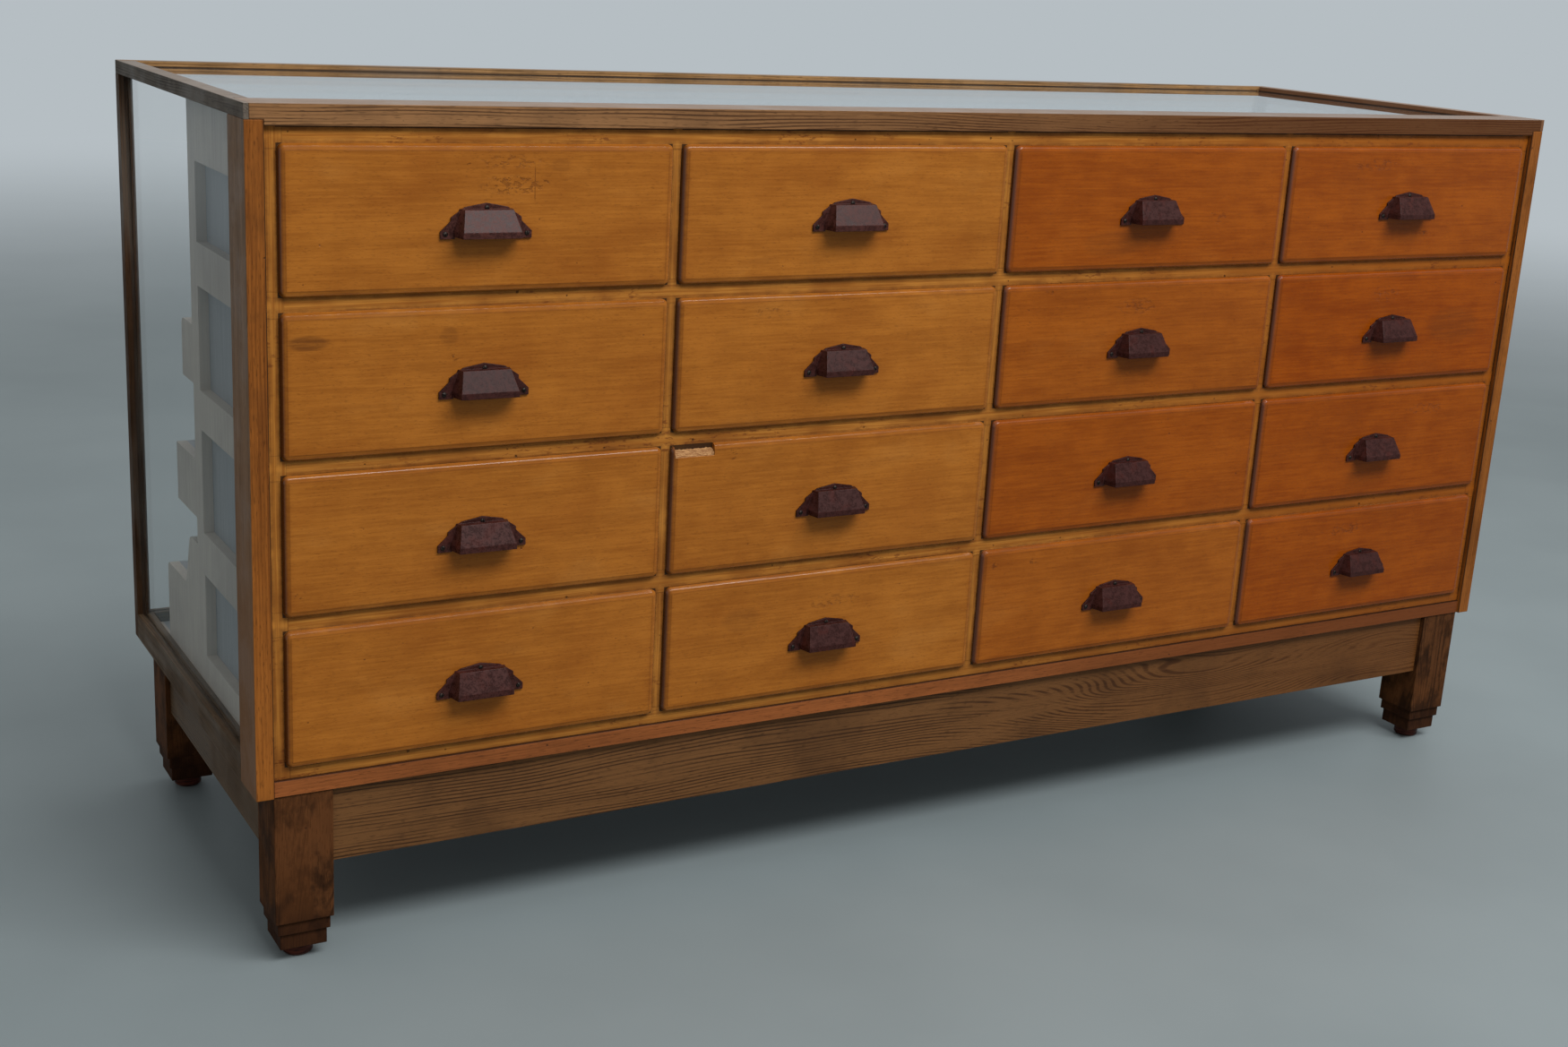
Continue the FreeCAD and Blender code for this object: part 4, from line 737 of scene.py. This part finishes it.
def painted_board():
    """Old off-white paint with brush lines and rubbed spots, and painted shade on the lining panels, darker
    and bluer in their recesses.
    """
    surface = Surface("painted_board")
    brushed = surface.streaks(surface.place, "z", length=0.12, width=0.003, detail=3.0, roughness=0.6)
    clouds = surface.noise(5.0, 4.0, 0.6)
    paint = surface.mix(surface.ramp(clouds, 0.35, 0.7), colour(180, 172, 161), colour(158, 150, 141))
    paint = surface.mix(surface.ramp(brushed, 0.4, 0.7, 0.0, 0.25), paint, colour(152, 150, 146))
    # Painted shade: the lining panels in the recesses behind the windows are darker and bluer.
    lining_painted_shade = surface.below(surface.unsigned(surface.x), LINING_X + 0.0003)
    paint = surface.mix(surface.times(lining_painted_shade, 0.8), paint, colour(130, 138, 145))
    large_spots = surface.specks(size=0.003, apart=0.05, share=0.35)
    small_spots = surface.specks(size=0.0016, apart=0.024, share=0.3)
    worn = surface.most(large_spots, small_spots)
    paint = surface.mix(surface.times(worn, 0.55), paint, colour(104, 92, 78))
    surface.relief(surface.minus(surface.times(brushed, 0.4), worn), 0.0004)
    return surface.finish(paint, surface.ramp(brushed, 0.3, 0.7, 0.4, 0.6))


def bakelite():
    """Moulded resin, mottled, paler towards the pulls at the top left: a dull bloom with a painted
    reflection of the pale room.
    """
    surface = Surface("bakelite")
    coarse = surface.noise(170.0, 4.0, 0.65)
    fine = surface.noise(620.0)
    blotch = surface.math("MULTIPLY_ADD", fine, 0.4, surface.times(coarse, 0.6))
    spread = surface.ramp(blotch, 0.42, 0.58)
    # The paler greyed colour is a dull bloom together with a painted reflection, the most at the top left.
    greyed = surface.mix(spread, colour(55, 30, 26), colour(85, 50, 44))
    shiny = surface.mix(spread, colour(44, 20, 17), colour(54, 27, 25))
    column = surface.cell(surface.x, FIRST_FRONT, COLUMN_PITCH)
    row = surface.cell(surface.z, LOWEST_FRONT, ROW_PITCH)
    luck = surface.chance(surface.join(column, row, 3.0))
    bloom_and_sheen_share = surface.times(surface.ramp(column, 0.0, 3.0, 0.6, 0.0), surface.ramp(row, 2.0, 3.0, 0.4, 1.0))
    bloom_and_sheen_share = surface.math("MULTIPLY_ADD", luck, 0.35, bloom_and_sheen_share, clamp=True)
    paint = surface.mix(bloom_and_sheen_share, shiny, greyed)
    red = surface.noise(60.0, 3.0)
    paint = surface.mix(surface.ramp(red, 0.52, 0.7, 0.0, 0.25), paint, colour(84, 32, 22))
    surface.relief(blotch, 0.0001)
    return surface.finish(paint, surface.ramp(blotch, 0.35, 0.65, 0.22, 0.40))


def screw_metal():
    surface = Surface("blackened_screw")
    surface.shader.inputs["Metallic"].default_value = 1.0
    grain = surface.noise(900.0, 3.0)
    paint = surface.mix(surface.ramp(grain, 0.35, 0.65), colour(36, 34, 34), colour(74, 66, 60))
    surface.relief(grain, 0.0002)
    return surface.finish(paint, surface.ramp(grain, 0.3, 0.7, 0.4, 0.65))


def glass(name, tint, mirror_share, dust_share):
    """A thin pane: it shows what is behind it, and mirrors more of the room the flatter it is seen."""
    surface = Surface(name, roughness=0.02)
    facing = surface.node("ShaderNodeLayerWeight").outputs["Facing"]
    mirror = surface.math("MULTIPLY_ADD", surface.math("POWER", facing, 5.0), 0.96, 0.04)
    mirror = surface.times(mirror, mirror_share)
    dust = surface.noise((3.0, 3.0, 5.0), 5.0, 0.65)
    seen = surface.plus(mirror, surface.ramp(dust, 0.35, 0.75, 0.5 * dust_share, dust_share), clamp=True)
    surface.put(surface.shader.inputs["Alpha"], seen)
    surface.put(surface.shader.inputs["Metallic"], surface.over(mirror, seen))
    return surface.finish(surface.mix(surface.noise(1.7), tint, darker(tint, 0.9)))


# Finishes and rounded edges go onto the CAD's own pieces.

def dress(material, *names):
    for name in names:
        for material_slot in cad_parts[name].material_slots:
            material_slot.material = material


def facets_joined_before(reach):
    """Node group that joins a mesh's loose facets where they lie before y = reach."""
    group = bpy.data.node_groups.new("facets_joined_before", "GeometryNodeTree")
    for direction in ("INPUT", "OUTPUT"):
        group.interface.new_socket("Geometry", in_out=direction, socket_type="NodeSocketGeometry")
    given = group.nodes.new("NodeGroupInput")
    place = group.nodes.new("GeometryNodeInputPosition")
    parts = group.nodes.new("ShaderNodeSeparateXYZ")
    before = group.nodes.new("FunctionNodeCompare")
    before.operation = "LESS_THAN"
    before.inputs["B"].default_value = reach
    merge = group.nodes.new("GeometryNodeMergeByDistance")
    merge.inputs["Distance"].default_value = 0.00001
    made = group.nodes.new("NodeGroupOutput")
    group.links.new(place.outputs[0], parts.inputs[0])
    group.links.new(parts.outputs["Y"], before.inputs["A"])
    group.links.new(before.outputs["Result"], merge.inputs["Selection"])
    group.links.new(given.outputs[0], merge.inputs["Geometry"])
    group.links.new(merge.outputs[0], made.inputs[0])
    return group


def soften(*names, width, segments, only_before=None):
    """Rounds the edges of these pieces a little, as wear does, or only those before a given y.

    Facets are joined first, and flat ones merged, so that the rounding follows the real edges only.
    """
    group = None if only_before is None else facets_joined_before(only_before)
    for name in names:
        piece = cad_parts[name]
        if group is None:
            weld = piece.modifiers.new("weld", "WELD")
            weld.merge_threshold = 0.00001
        else:
            weld = piece.modifiers.new("weld", "NODES")
            weld.node_group = group
        flat = piece.modifiers.new("joined_facets", "DECIMATE")
        flat.decimate_type = "DISSOLVE"
        flat.angle_limit = math.radians(0.5)
        bevel = piece.modifiers.new("worn_edges", "BEVEL")
        bevel.width = width
        bevel.segments = segments
        bevel.limit_method = "ANGLE"
        bevel.angle_limit = math.radians(12)
        bevel.harden_normals = True


# Pieces that the CAD leaves to the looks.

def half_dome(mesh, centre, turn, side):
    """Half of a round screw head on the slot's one side, with the slot's wall."""
    rows = []
    for step in range(SCREW_STEPS + 1):
        share = step / SCREW_STEPS
        v = SCREW_SLOT + (SCREW_RADIUS - SCREW_SLOT) * math.sin(share * math.pi / 2)
        reach = math.sqrt(max(SCREW_RADIUS ** 2 - v ** 2, 0.0))
        row = []
        for place in range(2 * SCREW_STEPS + 1):
            u = reach * math.sin((place / SCREW_STEPS - 1) * math.pi / 2)
            rise = SCREW_DOME * math.sqrt(max(1 - (u * u + v * v) / SCREW_RADIUS ** 2, 0.0))
            row.append(Vector((u, -rise, side * v)))
        rows.append(row)
    foot = [Vector((point.x, 0.0, side * SCREW_SLOT)) for point in rows[0]]
    rows.insert(0, foot)
    placed = [[mesh.verts.new(centre + turn @ point) for point in row] for row in rows]
    for lower, upper in zip(placed, placed[1:]):
        for index in range(len(lower) - 1):
            mesh.faces.new((lower[index], lower[index + 1], upper[index + 1], upper[index]))


def add_piece(name, mesh, material, body):
    """Makes the mesh a piece that moves with the body and has the given finish."""
    bmesh.ops.remove_doubles(mesh, verts=mesh.verts, dist=0.000001)
    bmesh.ops.recalc_face_normals(mesh, faces=mesh.faces)
    data = bpy.data.meshes.new(name)
    mesh.to_mesh(data)
    mesh.free()
    data.materials.append(material)
    piece = bpy.data.objects.new(name, data)
    bpy.context.scene.collection.objects.link(piece)
    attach(piece, body)


def make_screws(material):
    """Three slotted round-head screws in each pull, each turned its own way."""
    for row in range(ROWS):
        for column in range(COLUMNS):
            where = f"row{row + 1}_column{column + 1}"
            pull = f"pull_{where}"
            middle = (low(pull, "x") + high(pull, "x")) / 2
            face = high(pull, "y") - PLATE_THICKNESS
            peak = high(pull, "z")
            mesh = bmesh.new()
            for number, (aside, down) in enumerate(PULL_SCREWS):
                centre = Vector((middle + aside, face, peak - down))
                angle = 0.9 * row + 1.7 * column + 2.3 * number
                turn = Matrix.Rotation(angle, 3, "Y")
                half_dome(mesh, centre, turn, 1)
                half_dome(mesh, centre, turn, -1)
            add_piece(f"screws_{where}", mesh, material, f"sliding_drawer_{where}")


def splinter_rise(step, layer):
    """How high the torn fibres stand, with taller ones where the split begins and ends."""
    along = step / CHIP_STEPS
    inward = layer / CHIP_LAYERS
    jag = 0.5 + 0.5 * math.sin(0.9 * step + 5.1 * layer) * math.cos(0.37 * step - 2.7 * layer)
    at_left = 0.0016 * math.exp(-(along / 0.05) ** 2)
    at_right = 0.0030 * math.exp(-((along - 1.0) / 0.05) ** 2)
    return 0.0003 + 0.0013 * jag + (at_right + at_left) * (1 - inward)


def make_torn_wood(material):
    """Splinters that stand on the slope where the lip has split off."""
    mesh = bmesh.new()
    left = front_left(CHIPPED_COLUMN) + CHIP_START + CHIP_MARGIN
    length = CHIP_LENGTH - 2 * CHIP_MARGIN
    front = FRONT_FACE_Y + 0.0005
    depth = FRONT_BACK_Y - front - 0.0002
    tops = []
    feet = []
    for layer in range(CHIP_LAYERS + 1):
        inward = layer / CHIP_LAYERS
        y = front + depth * inward
        drop = CHIP_FRONT_DROP - (CHIP_FRONT_DROP - CHIP_BACK_DROP) * inward
        slope = front_top(CHIPPED_ROW) - drop
        across = [left + length * step / CHIP_STEPS for step in range(CHIP_STEPS + 1)]
        heights = [slope + splinter_rise(step, layer) for step in range(CHIP_STEPS + 1)]
        tops.append([mesh.verts.new((x, y, z)) for x, z in zip(across, heights)])
        feet.append([mesh.verts.new((x, y, slope)) for x in across])

    for layer in range(CHIP_LAYERS):
        near = tops[layer]
        far = tops[layer + 1]
        for step in range(CHIP_STEPS):
            mesh.faces.new((near[step], near[step + 1], far[step + 1], far[step]))
        for end in (0, -1):
            mesh.faces.new((feet[layer][end], feet[layer + 1][end], far[end], near[end]))
    for layer in (0, -1):
        foot = feet[layer]
        top = tops[layer]
        for step in range(CHIP_STEPS):
            mesh.faces.new((foot[step], foot[step + 1], top[step + 1], top[step]))
    loose = [vertex for vertex in mesh.verts if not vertex.link_faces]
    bmesh.ops.delete(mesh, geom=loose, context="VERTS")
    where = f"row{CHIPPED_ROW + 1}_column{CHIPPED_COLUMN + 1}"
    add_piece(f"torn_wood_{where}", mesh, material, f"sliding_drawer_{where}")


# Floor, light and camera.

def make_floor():
    """A plain pale floor that fades into the background far away."""
    surface = Surface("studio_floor", roughness=0.45)
    far = surface.node("ShaderNodeVectorMath", operation="LENGTH")
    surface.put(far.inputs[0], surface.place)
    fade = surface.ramp(far.outputs["Value"], *FLOOR_FADE)
    mottle = surface.noise(2.0, 4.0)
    surface.finish(surface.mix(surface.ramp(mottle, 0.3, 0.7), colour(134, 144, 146), colour(128, 138, 140)))
    rays = surface.node("ShaderNodeLightPath").outputs
    seen = surface.plus(rays["Is Camera Ray"], rays["Is Glossy Ray"])
    seen = surface.plus(seen, rays["Is Transmission Ray"], clamp=True)
    distance = surface.node("ShaderNodeEmission")
    distance.inputs["Color"].default_value = colour(*BACKGROUND)
    blend = surface.node("ShaderNodeMixShader")
    surface.put(blend.inputs[0], surface.times(fade, seen))
    surface.links.new(surface.shader.outputs[0], blend.inputs[1])
    surface.links.new(distance.outputs[0], blend.inputs[2])
    surface.links.new(blend.outputs[0], surface.nodes["Material Output"].inputs["Surface"])
    mesh = bmesh.new()
    bmesh.ops.create_circle(mesh, cap_ends=True, segments=64, radius=FLOOR_RADIUS)
    data = bpy.data.meshes.new("floor")
    mesh.to_mesh(data)
    mesh.free()
    data.materials.append(surface.material)
    floor = bpy.data.objects.new("floor", data)
    bpy.context.scene.collection.objects.link(floor)


def light_room():
    """Even pale light all round. The camera and reflections see the background colour instead."""
    world = bpy.data.worlds.new("room")
    bpy.context.scene.world = world
    world.use_nodes = True
    nodes = world.node_tree.nodes
    links = world.node_tree.links
    lighting = nodes["Background"]
    lighting.inputs["Color"].default_value = (1.0, 1.0, 1.0, 1.0)
    lighting.inputs["Strength"].default_value = 0.42
    backdrop = nodes.new("ShaderNodeBackground")
    backdrop.inputs["Color"].default_value = colour(*BACKGROUND)
    rays = nodes.new("ShaderNodeLightPath").outputs
    seen_or_mirrored = nodes.new("ShaderNodeMath")
    seen = nodes.new("ShaderNodeMath")
    seen.use_clamp = True
    links.new(rays["Is Camera Ray"], seen_or_mirrored.inputs[0])
    links.new(rays["Is Glossy Ray"], seen_or_mirrored.inputs[1])
    links.new(seen_or_mirrored.outputs[0], seen.inputs[0])
    links.new(rays["Is Transmission Ray"], seen.inputs[1])
    choice = nodes.new("ShaderNodeMixShader")
    links.new(seen.outputs[0], choice.inputs[0])
    links.new(lighting.outputs[0], choice.inputs[1])
    links.new(backdrop.outputs[0], choice.inputs[2])
    links.new(choice.outputs[0], nodes["World Output"].inputs["Surface"])


def add_lamp(name, place, target, size, power):
    lamp = bpy.data.lights.new(name, "AREA")
    lamp.shape = "RECTANGLE"
    lamp.size = size[0]
    lamp.size_y = size[1]
    lamp.energy = power
    holder = bpy.data.objects.new(name, lamp)
    holder.location = place
    holder.rotation_euler = (Vector(target) - Vector(place)).to_track_quat("-Z", "Y").to_euler()
    bpy.context.scene.collection.objects.link(holder)


def set_camera():
    yaw = math.radians(CAMERA_YAW)
    pitch = math.radians(CAMERA_PITCH)
    roll = math.radians(CAMERA_ROLL)
    ahead = Vector((math.sin(yaw) * math.cos(pitch), math.cos(yaw) * math.cos(pitch), -math.sin(pitch)))
    level = Vector((math.cos(yaw), -math.sin(yaw), 0.0))
    upward = level.cross(ahead)
    right = level * math.cos(roll) + upward * math.sin(roll)
    up = upward * math.cos(roll) - level * math.sin(roll)
    data = bpy.data.cameras.new("camera")
    data.lens = CAMERA_LENS
    data.sensor_width = 36.0
    camera = bpy.data.objects.new("camera", data)
    turn = Matrix((right, up, -ahead)).transposed().to_4x4()
    camera.matrix_world = Matrix.Translation(CAMERA_PLACE) @ turn
    bpy.context.scene.collection.objects.link(camera)
    bpy.context.scene.camera = camera


drawers = names_of("drawer")
pulls = names_of("pull")
front_posts = ("post_front_left", "post_front_right")
legs = ("leg_front_left", "leg_front_right", "leg_rear_left", "leg_rear_right")
painted = ("carcase_end_left", "carcase_end_right", "carcase_back", "carcase_top", "display_shelves")

dress(drawer_wood(), *drawers)
dress(bakelite(), *pulls)
dress(face_frame_wood(), "face_frame")
dress(front_post_oak(), *front_posts)
dress(front_rail_oak(), "top_rail_front")
dress(base_rail_oak(), "base_rail_front")
end_top = weathered_oak("end_top_oak", "y", colour(108, 98, 88), colour(62, 52, 44), brown_end=0.8)
dress(end_top, "top_rails_end")
dress(weathered_oak("end_foot_oak", "y", colour(108, 84, 60), colour(60, 45, 32)), "bottom_rails_end")
dress(weathered_oak("rear_top_oak", "x", colour(172, 130, 82), colour(104, 74, 44)), "top_rail_rear")
dress(weathered_oak("rear_foot_oak", "x", colour(100, 76, 54), colour(54, 40, 28)), "bottom_rail_rear")
dress(weathered_oak("rear_post_oak", "z", colour(88, 60, 38), colour(48, 31, 19)), "posts_rear")
dress(apron_oak(), "plinth_aprons")
dress(leg_oak(), *legs)
dress(turned_wood(), "leg_glides")
dress(softwood(), "partitions", "drawer_runners")
dress(painted_board(), "case_floor", *painted)
dress(glass("top_glass", colour(226, 234, 236), mirror_share=1.0, dust_share=0.03), "glass_top")
end_glass = glass("end_glass", colour(190, 200, 200), mirror_share=0.35, dust_share=0.02)
dress(end_glass, "glass_left", "glass_right", "glass_rear")

# Only the fronts of the drawers are rounded. Their boxes keep sharp edges.
soften(*drawers, width=0.0011, segments=3, only_before=FRONT_BACK_Y + 0.0001)
soften(*pulls, width=0.0005, segments=2)
soften(*front_posts, "top_rail_front", "base_rail_front", "top_rails_end", width=0.0010, segments=2)
soften(*legs, "plinth_aprons", width=0.0010, segments=2)

make_screws(screw_metal())
make_torn_wood(bare_beech())

make_floor()
light_room()
add_lamp("high_lamp", place=(0.5, -3.0, 4.2), target=(0.0, -0.2, 0.5), size=(4.0, 1.6), power=195.0)
add_lamp("ceiling_strip", place=(0.9, 0.15, 3.2), target=(0.5, 0.0, 0.8), size=(3.4, 0.35), power=20.0)
set_camera()
bpy.context.scene.view_settings.view_transform = "Standard"
